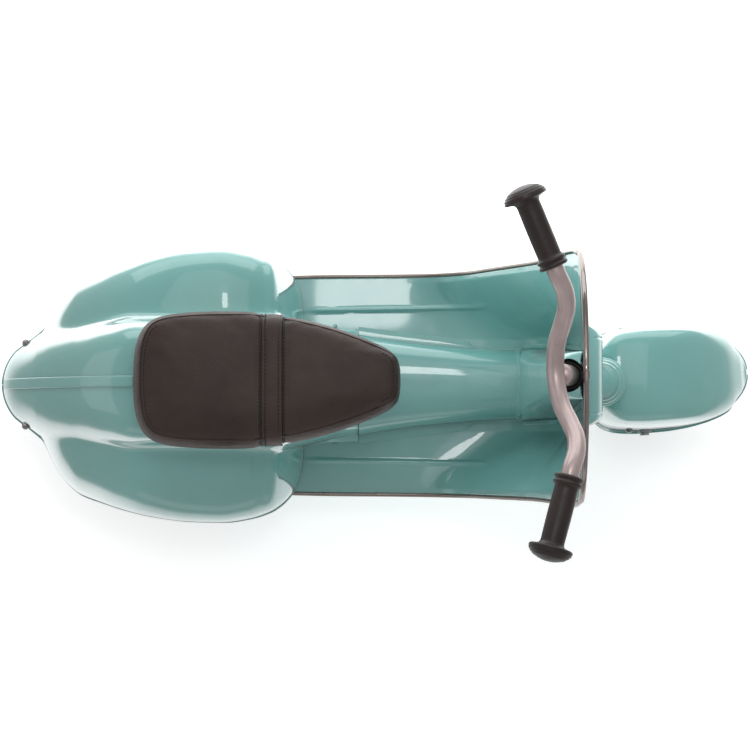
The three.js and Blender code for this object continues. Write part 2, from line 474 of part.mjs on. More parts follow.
// ---------------------------------------------------------------- steering parts (straight ahead)
function mudPoint(x, deg, off) {
  const z0 = pchip(MUD_RIM, x), w = Math.max(0.8, pchip(MUD_W, x) - off), h = Math.max(0.8, pchip(MUD_TOP, x) - z0 - off), t = deg * Math.PI / 180;
  const c = Math.cos(t), s = Math.sin(t), n = pchip(MUD_N, x);
  const r = 1 / Math.pow(Math.pow(Math.abs(c) / w, n) + Math.pow(Math.abs(s) / h, n), 1 / n);
  const crown = 6 * (r * c / 53) ** 2 * Math.min(1, h / 60);
  return V(x, r * c, z0 + r * s - crown * s);
}
const MUD_X = [212.3, 214.5, 221, 233, 262, 292, 318, 342, 362, 375, 381.8];
function mudguard() {
  const out = [], inn = [], degs = [0, 20, 45, 58, 67, 74, 82, 90, 98, 106, 113, 122, 135, 160, 180];
  for (const x of MUD_X) {
    const xi = 262 + (x - 262) * (x > 262 ? (119.8 - SHEET) / 119.8 : (49.7 - SHEET) / 49.7);
    out.push(degs.map(d => mudPoint(x, d, 0)));
    inn.push(degs.map(d => mudPoint(xi, d, SHEET)));
  }
  let m = toSolid(sheet(out, inn));
  // outward-rolled lower edge
  const rims = [];
  for (const s of [1, -1]) {
    const rings = MUD_X.slice(2).map((x, i, a) => {
      const w = pchip(MUD_W, x), z = pchip(MUD_RIM, x), k = (i === 0) ? 0.4 : 1, fx = x > 370 ? 0.9 * (x - 370) / 11.8 : 0;
      return [V(x, s * (w - 1.7), z), V(x + fx, s * (w + 2.6 * k), z), V(x + fx, s * (w + 2.6 * k), z + 2.4), V(x, s * (w - 1.7), z + 2.4)];
    });
    rims.push(toSolid(loft(rings)));
  }
  m = union([m, ...rims]);
  return m;
}
const mudHoles = union([
  rod(V(FRONT_AXLE_X, -60, 75), V(FRONT_AXLE_X, 60, 75), AXLE_R + GAP, 16),
  rod(V(256, -60, 122), V(256, 60, 122), 3.3, 12),
  rod(onAxis(170), onAxis(215), STEM_R + 0.6, 16),
]);
const mud = mudguard().subtract(mudHoles);

const barPath = (k) => [V(156.5, 0, 414), V(158.8, 26, 420), V(164.8, 45, 431), V(167.6, 57, 440.5), V(166, 70, 450), V(160, 84, 457.5), V(157.5, 91.15, 458.35), V(150, 112.6, 460.9), V(135, 155.5, 466)].map(p => V(p.x, p.y * k, p.z));
const bar = pipe([...barPath(-1).reverse().slice(0, -1), ...barPath(1)], BAR_R, 32, 8, 'centripetal');
const barClear = pipe([V(158.8, -26, 420), V(156.5, 0, 414), V(158.8, 26, 420)], BAR_R + 0.6, 6, 10);
const steererTop = 403;
let stem = union([
  rod(onAxis(176), onAxis(steererTop), STEM_R, 20),
  toSolid(loft([-6, 20].map(dx => [[-24, 159], [24, 159], [24, 171], [15, 177], [-15, 177], [-24, 171]].map(([y, z]) => V(232 - (z - 174) * 0.25 + dx, y, z))))),
]);
for (const s of [1, -1]) {
  stem = stem.add(toSolid(loft([[246, 166], [266, 110], [FRONT_AXLE_X, 75], [FRONT_AXLE_X + 3, 62]].map(([x, z], i) => {
    const w = [13, 11, 11, 8][i];
    return [V(x - w, s * 20, z - w * 0.25), V(x + w, s * 20, z + w * 0.25), V(x + w, s * 24, z + w * 0.25), V(x - w, s * 24, z - w * 0.25)];
  }))));
}
stem = stem.subtract(barClear).subtract(rod(V(FRONT_AXLE_X, -60, 75), V(FRONT_AXLE_X, 60, 75), AXLE_R + GAP, 16))
  .subtract(rod(V(256, -60, 122), V(256, 60, 122), 3.3, 12))
  .subtract(rod(onAxis(389), onAxis(420), 7.2, 16));
const stemCap = turned([[0, -8], [6.9, -8], [6.9, GAP + 0.2], [STEM_R, GAP + 0.2], [8.8, 2.4], [6.2, 4.4], [3, 5.4], [0, 5.7]], onAxis(steererTop), AXIS, 20).subtract(barClear);
const collar = turned([[STEM_R + 0.55, -6.4], [23, -6.4], [24, -3], [24, 2.4], [21, 4.8], [STEM_R + 2.4, 5.6], [STEM_R + 0.55, 5.6], [STEM_R + 0.55, -6.4]], onAxis(197.6), AXIS, 20);

const gripDir = s => V(-25, 71.5 * s, 8.5).normalize();
const grip = s => {
  const from = V(160, 84 * s, 457.5).addScaledVector(gripDir(s), 7);
  return turned([[BAR_R + 0.75, 0], [13, 0.5], [12.2, 4], [13, 7.5], [GRIP_R, 9.6], [GRIP_R, 61], [GRIP_END_R, 64.6], [GRIP_END_R, 68.5], [13, 74], [0, 76], [0, 70.2], [BAR_R + 0.75, 70.2], [BAR_R + 0.75, 0]], from, gripDir(s), 18);
};

// ---------------------------------------------------------------- wheels
function wheel(x, y, side) {
  const c = V(x, y, WHEEL_R), d = V(0, 1, 0), h = TYRE_W / 2;
  const tyre = turned([[56, -h + 2], [62, -h], [71, -h + 5], [WHEEL_R, -5], [WHEEL_R, 5], [71, h - 5], [62, h], [56, h - 2], [56, -h + 2]], c, d, 28);
  const disc = turned([[9.3, -15], [15, -15], [20, -5], [44, -4], [50, -12], [55.2, -14.5], [55.2, 14.5], [50, 12], [44, 4], [20, 5], [15, 15], [9.3, 15], [9.3, -15]], c, d, 20);
  const bushing = turned([[AXLE_R + 0.4, -18.4], [12, -18.4], [12, -15.4], [8.9, -15.4], [8.9, 18.4], [AXLE_R + 0.4, 18.4], [AXLE_R + 0.4, -18.4]], c, d, 18);
  return { tyre, disc, bushing };
}
const wf = wheel(FRONT_AXLE_X, 0, 0), wl = wheel(REAR_AXLE_X, REAR_WHEEL_Y, 1), wr = wheel(REAR_AXLE_X, -REAR_WHEEL_Y, -1);

// ---------------------------------------------------------------- axles and fasteners
const washer = (x, y0, y1, z, ri, ro) => turned([[ri, 0], [ro, 0], [ro, y1 - y0], [ri, y1 - y0], [ri, 0]], V(x, y0, z), V(0, 1, 0), 16);
const acorn = (at, dir, r, len) => turned([[0, 0], [r, 0], [r, len * 0.45], [r * 0.84, len * 0.52], [r * 0.6, len * 0.86], [0, len]], at, dir, 12);
const frontAxle = rod(V(FRONT_AXLE_X, -53.2, 75), V(FRONT_AXLE_X, 53.2, 75), AXLE_R, 20);
const frontSpacer = s => washer(FRONT_AXLE_X, s > 0 ? 24.3 : -50, s > 0 ? 50 : -24.3, 75, AXLE_R + 0.35, 8);
const frontNut = s => acorn(V(FRONT_AXLE_X, s * 53.6, 75), V(0, s, 0), 7, 6.5);
const mudBolt = s => acorn(V(256, s * 52.6, 122), V(0, s, 0), 4.6, 4.5).add(rod(V(256, s * 19.4, 122), V(256, s * 53.2, 122), 3, 12)).add(rod(V(256, s * 24.4, 122), V(256, s * 46.6, 122), 5.5, 12));
const rearAxle = rod(V(REAR_AXLE_X, -107, 75), V(REAR_AXLE_X, 107, 75), AXLE_R, 20);
const rearNut = s => acorn(V(REAR_AXLE_X, s * 107.3, 75), V(0, s, 0), 7.5, 8);
const rearSpacer = s => washer(REAR_AXLE_X, s > 0 ? 53.3 : -69.2, s > 0 ? 69.2 : -53.3, 75, AXLE_R + 0.35, 8);
const bracket = s => toSolid(loft([[s * 50], [s * 53]].map(([y]) => [[-236, 112], [-222, 64], [-208, 64], [-194, 112]].map(([x, z]) => V(x, y, z)))))
  .add(block(-236, -194, Math.min(s * 12.6, s * 53), Math.max(s * 12.6, s * 53), 109.4, 112.4))
  .subtract(rod(V(REAR_AXLE_X, -60, 75), V(REAR_AXLE_X, 60, 75), AXLE_R + GAP, 16)).subtract(rod(V(-330, 0, FRAME_Z), V(0, 0, FRAME_Z), FRAME_R + GAP + 0.1, 16));

const tailBolt = s => {
  const x = -357, y = 43.6 * s;
  const n = V(-0.74, 0.66 * s, 0.12).normalize();
  return acorn(V(x, y, 106).addScaledVector(n, 2.8), n, 4.6, 5);
};
const panScrew = (x, y, z, n, r = 3.4) => turned([[0, 0], [r, 0], [r, 0.6], [r * 0.75, 1.7], [0, 2.2]], V(x, y, z), n, 12);
const seatBolt = x => turned([[0, 0], [6.5, 0], [6.5, 4], [0, 5.4]], V(x, 0, 226.8), V(0, 0, 1), 6);
const tunnelScrew = s => panScrew(-40, s * 64.5, FLOOR_Z + GAP, V(0, 0, 1), 3);
const noseScrew = s => panScrew(shieldX(235) + SHEET + 16 + 0.9 + GAP + GAP, s * 30.5, 235, V(1, 0, 0), 3);
const floorBolt = s => turned([[0, 0], [4.2, 0], [4.2, -3], [0, -3.8]], V(60, s * 26, FLOOR_Z - SHEET - GAP), V(0, 0, 1), 6);
const rivet = s => {
  const e = edgeAt(sheetProfile(), 11.8, s), b = e.p.clone().addScaledVector(e.n, SHEET / 2 - 3.2 - GAP - 0.15);
  return panScrew(b.x, b.y - s * 1.6, b.z, e.n.clone().negate(), 2);
};
function seamStrip() {
  const xs = [-376.5, -371, -357, -341, -320, -300, -275, -252, -243], out = [], inn = [];
  for (const x of xs) {
    const z = pchip(SPINE_Z, x), e = 1;
    const d = (pchip(SPINE_Z, x + 0.5) - pchip(SPINE_Z, x - 0.5)), nl = Math.hypot(1, d);
    const off = (k) => V(x - d / nl * k, 0, z + k / nl);
    const a = off(1.35), b = off(0.35);
    out.push([V(a.x, -5.2, a.z), V(a.x, 0, a.z), V(a.x, 5.2, a.z)]);
    inn.push([V(b.x, -5.2, b.z), V(b.x, 0, b.z), V(b.x, 5.2, b.z)]);
  }
  return toSolid(sheet(out, inn));
}
const clip = (() => {
  const g = sheet([-6.6, 6.6].map(y => [[-4.4, -5], [-4.6, 1], [-3.0, 3.8], [3.0, 3.8], [4.6, 1], [4.4, -5]].map(([u, v]) => V(shieldX(398) + 0.5 + SHEET / 2 + u, y, 399.4 + v))),
    [-6.6, 6.6].map(y => [[-1.7, -5], [-1.7, 0.2], [-1.2, 0.9], [1.2, 0.9], [1.7, 0.2], [1.7, -5]].map(([u, v]) => V(shieldX(398) + 0.5 + SHEET / 2 + u, y, 399.4 + v))));
  return toSolid(g);
})();

// ---------------------------------------------------------------- scene
const PAINT = { color: 0x84acab, roughness: 0.18, metalness: 0.1 };
const CHROME = { color: 0xb0aba8, roughness: 0.12, metalness: 1 };
const SILVER = { color: 0x9d8d8a, roughness: 0.35, metalness: 0.9 };
const STEEL = { color: 0x8a8886, roughness: 0.4, metalness: 0.9 };
const DARK = { color: 0x2f3030, roughness: 0.55, metalness: 0.3 };
const VINYL = { color: 0x443c3a, roughness: 0.5, metalness: 0 };
const RUBBER = { color: 0x322b28, roughness: 0.75, metalness: 0 };
const NYLON = { color: 0xd8d4c8, roughness: 0.5, metalness: 0 };

function mesh(name, solid, look) {
  const m = new THREE.Mesh(toGeometry(solid), new THREE.MeshStandardMaterial(look));
  m.name = name;
  return m;
}

const scooter = new THREE.Group();

scooter.add(
  mesh('chassis_frame', frame, DARK),
  mesh('head_tube', headTube, DARK),
  mesh('head_bush_upper', bush(HEAD_Z1, true), NYLON),
  mesh('head_bush_lower', bush(HEAD_Z0, false), NYLON),
  mesh('steering_grommet', grommet, RUBBER),
  mesh('floorboard_legshield', floor, PAINT),
  mesh('body_shell_left', shells[1], PAINT),
  mesh('body_shell_right', shells[-1], PAINT),
  mesh('tail_seam_strip', seamStrip(), PAINT),
  mesh('tunnel_cover', tunnel(), PAINT),
  mesh('column_cover', column, PAINT),
  mesh('nose_casing', nose(), PAINT),
  mesh('trim_left', trims[1], CHROME),
  mesh('trim_right', trims[-1], CHROME),
  mesh('trim_joint_clip', clip, CHROME),
  mesh('trim_rivet_left', rivet(1), CHROME),
  mesh('trim_rivet_right', rivet(-1), CHROME),
  mesh('seat_pan', pan, DARK),
  mesh('seat_cushion', cushion, VINYL),
  mesh('seat_strap', strapSolid, VINYL),
  mesh('seat_bolt_front', seatBolt(-124), STEEL),
  mesh('seat_bolt_rear', seatBolt(-172), STEEL),
  mesh('rear_axle', rearAxle, STEEL),
  mesh('rear_axle_bracket_left', bracket(1), DARK),
  mesh('rear_axle_bracket_right', bracket(-1), DARK),
  mesh('rear_axle_spacer_left', rearSpacer(1), STEEL),
  mesh('rear_axle_spacer_right', rearSpacer(-1), STEEL),
  mesh('rear_axle_nut_left', rearNut(1), CHROME),
  mesh('rear_axle_nut_right', rearNut(-1), CHROME),
  mesh('tail_bolt_left', tailBolt(1), CHROME),
  mesh('tail_bolt_right', tailBolt(-1), CHROME),
  mesh('tunnel_screw_left', tunnelScrew(1), STEEL),
  mesh('tunnel_screw_right', tunnelScrew(-1), STEEL),
  mesh('nose_screw_left', noseScrew(1), STEEL),
  mesh('nose_screw_right', noseScrew(-1), STEEL),
  mesh('floor_bolt_left', floorBolt(1), STEEL),
  mesh('floor_bolt_right', floorBolt(-1), STEEL),
);

// everything that turns with the handlebar, swung about the steering axis
const pivot = new THREE.Group();
pivot.position.copy(onAxis(AXIS_Z0));
pivot.quaternion.setFromAxisAngle(AXIS, STEER_REST * Math.PI / 180);
const steering = new THREE.Group();
steering.position.copy(onAxis(AXIS_Z0)).negate();
pivot.add(steering);
scooter.add(pivot);
steering.add(
  mesh('fork', stem, SILVER),
  mesh('stem_cap', stemCap, SILVER),
  mesh('handlebar', bar, SILVER),
  mesh('grip_left', grip(1), RUBBER),
  mesh('grip_right', grip(-1), RUBBER),
  mesh('mudguard', mud, PAINT),
  mesh('mudguard_collar', collar, PAINT),
  mesh('mudguard_bolt_left', mudBolt(1), CHROME),
  mesh('mudguard_bolt_right', mudBolt(-1), CHROME),
  mesh('front_axle', frontAxle, STEEL),
  mesh('front_axle_spacer_left', frontSpacer(1), STEEL),
  mesh('front_axle_spacer_right', frontSpacer(-1), STEEL),
  mesh('front_axle_nut_left', frontNut(1), CHROME),
  mesh('front_axle_nut_right', frontNut(-1), CHROME),
  mesh('front_tyre', wf.tyre, RUBBER),
  mesh('front_wheel_disc', wf.disc, SILVER),
  mesh('front_hub_bush', wf.bushing, NYLON),
);

scooter.add(
  mesh('rear_tyre_left', wl.tyre, RUBBER),
  mesh('rear_wheel_disc_left', wl.disc, SILVER),
  mesh('rear_hub_bush_left', wl.bushing, NYLON),
  mesh('rear_tyre_right', wr.tyre, RUBBER),
  mesh('rear_wheel_disc_right', wr.disc, SILVER),
  mesh('rear_hub_bush_right', wr.bushing, NYLON),
);

export default scooter;
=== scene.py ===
import math

import bpy
import numpy as np
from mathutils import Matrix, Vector
from mathutils.bvhtree import BVHTree

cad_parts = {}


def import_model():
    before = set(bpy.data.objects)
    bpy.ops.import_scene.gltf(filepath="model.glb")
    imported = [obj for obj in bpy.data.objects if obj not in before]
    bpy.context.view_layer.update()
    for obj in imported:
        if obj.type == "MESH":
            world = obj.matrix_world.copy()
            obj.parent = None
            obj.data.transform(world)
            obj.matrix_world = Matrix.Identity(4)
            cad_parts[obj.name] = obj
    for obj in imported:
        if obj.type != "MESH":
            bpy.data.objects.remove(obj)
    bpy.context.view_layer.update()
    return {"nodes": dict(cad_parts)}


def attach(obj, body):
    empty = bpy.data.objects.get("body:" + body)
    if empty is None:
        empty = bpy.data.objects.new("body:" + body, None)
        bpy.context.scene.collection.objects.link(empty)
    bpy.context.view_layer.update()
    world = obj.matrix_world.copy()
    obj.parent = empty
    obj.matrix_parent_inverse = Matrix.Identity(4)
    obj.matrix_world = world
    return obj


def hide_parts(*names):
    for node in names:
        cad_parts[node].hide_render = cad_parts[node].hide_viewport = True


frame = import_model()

MM = 0.001
scene = bpy.context.scene

# ------------------------------------------------------------------ design tables (mm)
RAKE, AXIS_X0, AXIS_Z0, STEER_REST = 0.2867, 173.0, 372.0, 4.0
FLOOR_Z, FLOOR_REAR_X, BEND_R, BEND_X, SHIELD_LEAN = 82.0, -104.0, 85.0, 107.0, 0.0331
SHEET = 1.2
RIM_W = [[-372, 30.4], [-369.8, 33.4], [-365.6, 37], [-357.4, 43.5], [-349.2, 50], [-341, 58.5], [-336.9, 67.8],
         [-332.8, 76.5], [-328.6, 84.7], [-322.5, 95], [-312.2, 106.8], [-302, 114.6], [-281.4, 122.5], [-261, 129.4],
         [-230, 136.9], [-189, 142], [-155, 142.8], [-127, 139], [-107, 132.5], [-97, 126.5], [-86, 116],
         [-80, 106.5], [-75.5, 94], [-73.2, 79], [-72, 62], [-16, 60]]
SPINE_W = [[-372, 30.4], [-369.8, 33.4], [-365.6, 37], [-357.4, 43.5], [-349.2, 50], [-341, 56], [-325, 63], [-300, 68],
           [-250, 71], [-100, 70], [-75, 66], [-61, 62.5], [-38, 56.5], [-16, 52]]
SPINE_Z = [[-374, 120], [-366, 128.5], [-357, 137.5], [-341, 152.5], [-325, 166], [-300, 184], [-275, 199.8],
           [-250, 211.5], [-234, 216.5], [-215, 220], [-190, 221.5], [-110, 221.5], [-92, 218], [-70, 197], [-50, 165],
           [-36, 143], [-25, 134], [-16, 131]]
COWL_H = [[-352, 2], [-341, 22], [-333, 43], [-322.5, 60], [-312, 71], [-302, 79], [-281, 91], [-261, 99], [-230, 107],
          [-189, 110], [-155, 110], [-127, 104], [-107, 88], [-97, 74], [-86, 55], [-79, 38], [-74, 20], [-71, 4], [-60, 2]]
RIM_Z = [[-382.4, 97.5], [-366, 94], [-341, 85], [-320, 78], [-290, 73], [-200, 70], [-130, 71], [-112, 75], [-98, 84.6], [-16, 84.6]]
SPINE_N = [[-382.4, 2.3], [-340, 2.4], [-300, 2.7], [-265, 3.4], [-235, 4.4], [-100, 4.4], [-60, 3.6], [-16, 3.4]]
COWL_N = [[-352, 2.4], [-300, 3.0], [-250, 4.0], [-200, 5.6], [-155, 6.4], [-110, 6], [-90, 4.6], [-72, 3.6]]
MUD_W = [[221, 37], [228, 43.5], [237, 48], [250, 50.8], [275, 52.6], [300, 52.2], [317, 50.8], [337, 47], [348, 43.6],
         [356.6, 40], [362, 36.6], [369, 30]]
MUD_TOP = [[212.3, 170], [214, 177], [217, 183], [222, 188], [230, 192], [245, 195], [262, 195], [285, 191], [305, 184],
           [325, 173.5], [343, 160], [358, 146], [369, 133], [377, 122], [381.8, 113]]
MUD_RIM = [[212.3, 142], [217, 122], [224, 102], [232, 88], [244, 72], [256, 63], [268, 60], [290, 60], [302, 63],
           [318, 73], [335, 84], [355, 95.5], [370, 103], [381.8, 108]]
MUD_N = [[212.3, 2.6], [225, 3.6], [250, 8], [320, 8], [350, 5.4], [372, 3.2], [381.8, 2.4]]
SEAT_W = [[-233.5, 8], [-233.1, 18], [-232.2, 27], [-230.6, 36], [-228, 44], [-224.6, 50.5], [-220, 55.5], [-214, 59.5],
          [-204, 62.5], [-190, 64.5], [-160, 66.3], [-130, 66.5], [-105, 64.5],
          [-80, 60.5], [-55, 55], [-30, 47.5], [-5, 38], [8, 32.2], [17, 27], [20.6, 24], [23, 19.5], [24.1, 13], [24.4, 6]]
SHIELD_W = [[82, 113], [167, 114], [230, 115.2], [290, 118.2], [315, 117.5], [335, 113.5], [352, 105.5], [368, 92],
            [380, 74], [389, 50], [395, 26], [398, 0.01]]
FLOOR_W = [[-104, 110.5], [-40, 112], [40, 112.5], [107, 113]]
SWEEP = [[-104, 82], [-40, 82], [15, 82], [40, 82.8], [62, 86.5], [80, 96], [97, 113], [110, 138], [122.5, 162], [136.5, 187],
         [150, 211], [165, 243], [178.6, 290], [183, 315], [185.6, 335]]
ROW_Z = [[10, 167], [11, 230], [12, 290], [13, 315], [14, 335], [15, 352], [16, 368], [17, 380], [18, 389], [19, 395], [20, 398]]
ROW_W = [[0, 110.5], [1, 112], [2, 112.4], [3, 112.7], [4, 113], [10, 114], [11, 115.2], [12, 118.2]]
TUNNEL_W = [[-16, 52], [20, 46], [56, 41.5], [100, 38], [147, 35]]
COLUMN_W = [[82, 36], [130, 34.5], [200, 30], [300, 24.5], [360, 21.5], [386, 20.5]]
COL_REAR = [[96, 147], [131, 147.2], [140, 148.4], [170, 151], [230, 154], [300, 156.5], [352, 158.5], [366, 161.5],
            [376, 167.5], [382, 174.5], [386, 181]]


def pchip(table, x):
    t = np.asarray(table, float)
    X, Y = t[:, 0], t[:, 1]
    x = np.clip(np.asarray(x, float), X[0], X[-1])
    h = np.diff(X)
    d = np.diff(Y) / h
    m = np.zeros(len(X))
    m[0], m[-1] = d[0], d[-1]
    for k in range(1, len(X) - 1):
        if d[k - 1] * d[k] > 0:
            w1, w2 = 2 * h[k] + h[k - 1], h[k] + 2 * h[k - 1]
            m[k] = (w1 + w2) / (w1 / d[k - 1] + w2 / d[k])
    i = np.clip(np.searchsorted(X, x, side="right") - 1, 0, len(X) - 2)
    s = (x - X[i]) / h[i]
    s2, s3 = s * s, s * s * s
    return (2 * s3 - 3 * s2 + 1) * Y[i] + (s3 - 2 * s2 + s) * h[i] * m[i] + (3 * s2 - 2 * s3) * Y[i + 1] + (s3 - s2) * h[i] * m[i + 1]


def smooth01(a, b, x):
    t = np.clip((x - a) / (b - a), 0, 1)
    return t * t * (3 - 2 * t)


# ------------------------------------------------------------------ steering axis
AX = np.array([-RAKE, 0, 1.0]) / math.hypot(RAKE, 1)
P0 = np.array([AXIS_X0, 0, AXIS_Z0])


def on_axis(z):
    return np.array([AXIS_X0 + (AXIS_Z0 - z) * RAKE, 0.0, float(z)])


def steer(p):
    """Straight-ahead coordinates to the stored steering angle."""
    t = math.radians(STEER_REST)
    v = np.asarray(p, float) - P0
    c, s = math.cos(t), math.sin(t)
    return P0 + v * c + np.cross(np.broadcast_to(AX, v.shape), v) * s + AX * (v @ AX)[..., None] * (1 - c)


# ------------------------------------------------------------------ mesh helpers
def obj(name, verts, faces, sharp=38.0):
    me = bpy.data.meshes.new(name)
    me.from_pydata([tuple(float(c) * MM for c in v) for v in verts], [], [tuple(int(i) for i in f) for f in faces])
    me.validate()
    me.update()
    me.polygons.foreach_set("use_smooth", [True] * len(me.polygons))
    if sharp:
        me.set_sharp_from_angle(angle=math.radians(sharp))
    o = bpy.data.objects.new(name, me)
    scene.collection.objects.link(o)
    return o


def merge(parts):
    """Several (verts, faces) lists to one."""
    V, F, n = [], [], 0
    for v, f in parts:
        V.append(np.asarray(v, float).reshape(-1, 3))
        F += [tuple(i + n for i in q) for q in f]
        n += len(V[-1])
    return np.vstack(V), F


def grid_faces(R, C, close_u=False, close_v=False, flip=False, start=0):
    f = []
    for i in range(R if close_u else R - 1):
        for j in range(C if close_v else C - 1):
            a, b = i * C + j, ((i + 1) % R) * C + j
            c, d = ((i + 1) % R) * C + (j + 1) % C, i * C + (j + 1) % C
            q = (a + start, b + start, c + start, d + start)
            f.append(q[::-1] if flip else q)
    return f


def grid_normals(P):
    du = np.gradient(P, axis=0)
    dv = np.gradient(P, axis=1)
    n = np.cross(du, dv)
    L = np.linalg.norm(n, axis=2, keepdims=True)
    bad = L[..., 0] < 1e-9
    n = n / np.maximum(L, 1e-9)
    if bad.any():  # a pole row takes its neighbour's normals
        for i in range(len(P)):
            if bad[i].any():
                k = i + 1 if i + 1 < len(P) and not bad[i + 1].all() else i - 1
                n[i][bad[i]] = n[k][bad[i]]
    return n


def sheet(P, t, outward=None, edge_round=True):
    """Closed thin sheet from a grid. t is the thickness on the side away from the outward hint."""
    R, C = P.shape[:2]
    n = grid_normals(P)
    if outward is not None and np.sum(n * outward) < 0:
        n = -n
        P, n = P[:, ::-1], n[:, ::-1]
    Q = P - n * t
    V = np.vstack([P.reshape(-1, 3), Q.reshape(-1, 3)])
    f = grid_faces(R, C, flip=False)
    # orientation: outer faces must look along n
    a, b, c = P[R // 2, C // 2], P[min(R - 1, R // 2 + 1), C // 2], P[R // 2, min(C - 1, C // 2 + 1)]
    up = np.dot(np.cross(b - a, c - a), n[R // 2, C // 2]) > 0
    N = R * C
    if up:
        F = f + [tuple(i + N for i in q[::-1]) for q in f]
    else:
        F = [q[::-1] for q in f] + [tuple(i + N for i in q) for q in f]

    def strip(idx, flip):
        for a0, a1 in zip(idx[:-1], idx[1:]):
            q = (a0, a1, a1 + N, a0 + N)
            F.append(q[::-1] if flip else q)
    strip([j for j in range(C)], up)
    strip([(R - 1) * C + j for j in range(C)], not up)
    strip([i * C for i in range(R)], not up)
    strip([i * C + C - 1 for i in range(R)], up)
    return V, F


def resample(pts, n=None, step=None):
    p = np.asarray(pts, float)
    L = np.concatenate([[0], np.cumsum(np.linalg.norm(np.diff(p, axis=0), axis=1))])
    n = n or max(2, int(round(L[-1] / step)) + 1)
    s = np.linspace(0, L[-1], n)
    return np.stack([np.interp(s, L, p[:, k]) for k in range(3)], axis=1)


def spline(pts, per=16, closed=False):
    """Centripetal Catmull-Rom through the points."""
    p = np.asarray(pts, float)
    if closed:
        p = np.vstack([p[-1], p, p[0], p[1]])
    else:
        p = np.vstack([2 * p[0] - p[1], p, 2 * p[-1] - p[-2]])
    out = []
    for i in range(1, len(p) - 2):
        a, b, c, d = p[i - 1], p[i], p[i + 1], p[i + 2]
        t0 = 0.0
        t1 = t0 + max(1e-6, np.linalg.norm(b - a)) ** 0.5
        t2 = t1 + max(1e-6, np.linalg.norm(c - b)) ** 0.5
        t3 = t2 + max(1e-6, np.linalg.norm(d - c)) ** 0.5
        for t in np.linspace(t1, t2, per, endpoint=False):
            A1 = (t1 - t) / (t1 - t0) * a + (t - t0) / (t1 - t0) * b
            A2 = (t2 - t) / (t2 - t1) * b + (t - t1) / (t2 - t1) * c
            A3 = (t3 - t) / (t3 - t2) * c + (t - t2) / (t3 - t2) * d
            B1 = (t2 - t) / (t2 - t0) * A1 + (t - t0) / (t2 - t0) * A2
            B2 = (t3 - t) / (t3 - t1) * A2 + (t - t1) / (t3 - t1) * A3
            out.append((t2 - t) / (t2 - t1) * B1 + (t - t1) / (t2 - t1) * B2)
    if not closed:
        out.append(p[-2])
    return np.array(out)


def sweep(path, section, up=(0, 0, 1), closed=False, scale=None, caps=True):
    """Section points (a, b) carried along a path: a along the sideways axis, b along the up axis, parallel transport."""
    P = np.asarray(path, float)
    n, m = len(P), len(section)
    T = np.gradient(P, axis=0)
    if closed:
        T = np.roll(P, -1, axis=0) - np.roll(P, 1, axis=0)
    T /= np.maximum(1e-9, np.linalg.norm(T, axis=1, keepdims=True))
    u = np.asarray(up, float)
    u = u - T[0] * (u @ T[0])
    u /= np.linalg.norm(u)
    V = np.zeros((n, m, 3))
    sec = np.asarray(section, float)
    for i in range(n):
        u = u - T[i] * (u @ T[i])
        u /= np.linalg.norm(u)
        s = np.cross(T[i], u)
        k = 1.0 if scale is None else scale[i]
        V[i] = P[i] + k * (sec[:, :1] * s + sec[:, 1:2] * u)
    F = grid_faces(n, m, close_u=closed, close_v=True)
    V = V.reshape(-1, 3)
    if caps and not closed:
        F.append(tuple(range(m)))
        F.append(tuple((n - 1) * m + j for j in range(m))[::-1])
    # orient by signed volume of the side faces
    vol = 0.0
    c = V.mean(axis=0)
    for q in F[:: max(1, len(F) // 400)]:
        a, b, d = V[q[0]] - c, V[q[1]] - c, V[q[2]] - c
        vol += 0
    return V, orient(V, F)


def orient(V, F):
    vol = 0.0
    V = np.asarray(V)
    for q in F:
        a = V[q[0]]
        for k in range(1, len(q) - 1):
            vol += np.dot(a, np.cross(V[q[k]], V[q[k + 1]]))
    return F if vol > 0 else [tuple(q[::-1]) for q in F]


def circle(r, n=24, ry=None):
    a = np.arange(n) / n * 2 * math.pi
    return np.stack([r * np.cos(a), (ry or r) * np.sin(a)], axis=1)


def lathe(profile, at, direction, n=48):
    d = np.asarray(direction, float)
    d = d / np.linalg.norm(d)
    ref = np.array([0, 0, 1.0]) if abs(d[2]) < 0.9 else np.array([1.0, 0, 0])
    e1 = np.cross(d, ref)
    e1 /= np.linalg.norm(e1)
    e2 = np.cross(d, e1)
    a = np.arange(n) / n * 2 * math.pi
    V, F, rows = [], [], []
    for r, h in profile:
        c = np.asarray(at, float) + d * h
        if r < 1e-6:
            rows.append([len(V)])
            V.append(c)
        else:
            rows.append(list(range(len(V), len(V) + n)))
            V += [c + r * (math.cos(t) * e1 + math.sin(t) * e2) for t in a]
    for p, q in zip(rows[:-1], rows[1:]):
        for j in range(n):
            k = (j + 1) % n
            if len(p) == 1 and len(q) == 1:
                continue
            if len(p) == 1:
                F.append((p[0], q[j], q[k]))
            elif len(q) == 1:
                F.append((p[j], q[0], p[k]))
            else:
                F.append((p[j], q[j], q[k], p[k]))
    if len(rows[0]) > 1 and len(rows[-1]) > 1:
        if np.allclose(profile[0], profile[-1]):
            # closed ring: weld the last row on the first
            last, first = rows[-1], rows[0]
            mp = dict(zip(last, first))
            F = [tuple(mp.get(i, i) for i in q) for q in F]
        else:
            F.append(tuple(rows[0])[::-1])
            F.append(tuple(rows[-1]))
    return np.array(V), orient(np.array(V), F)


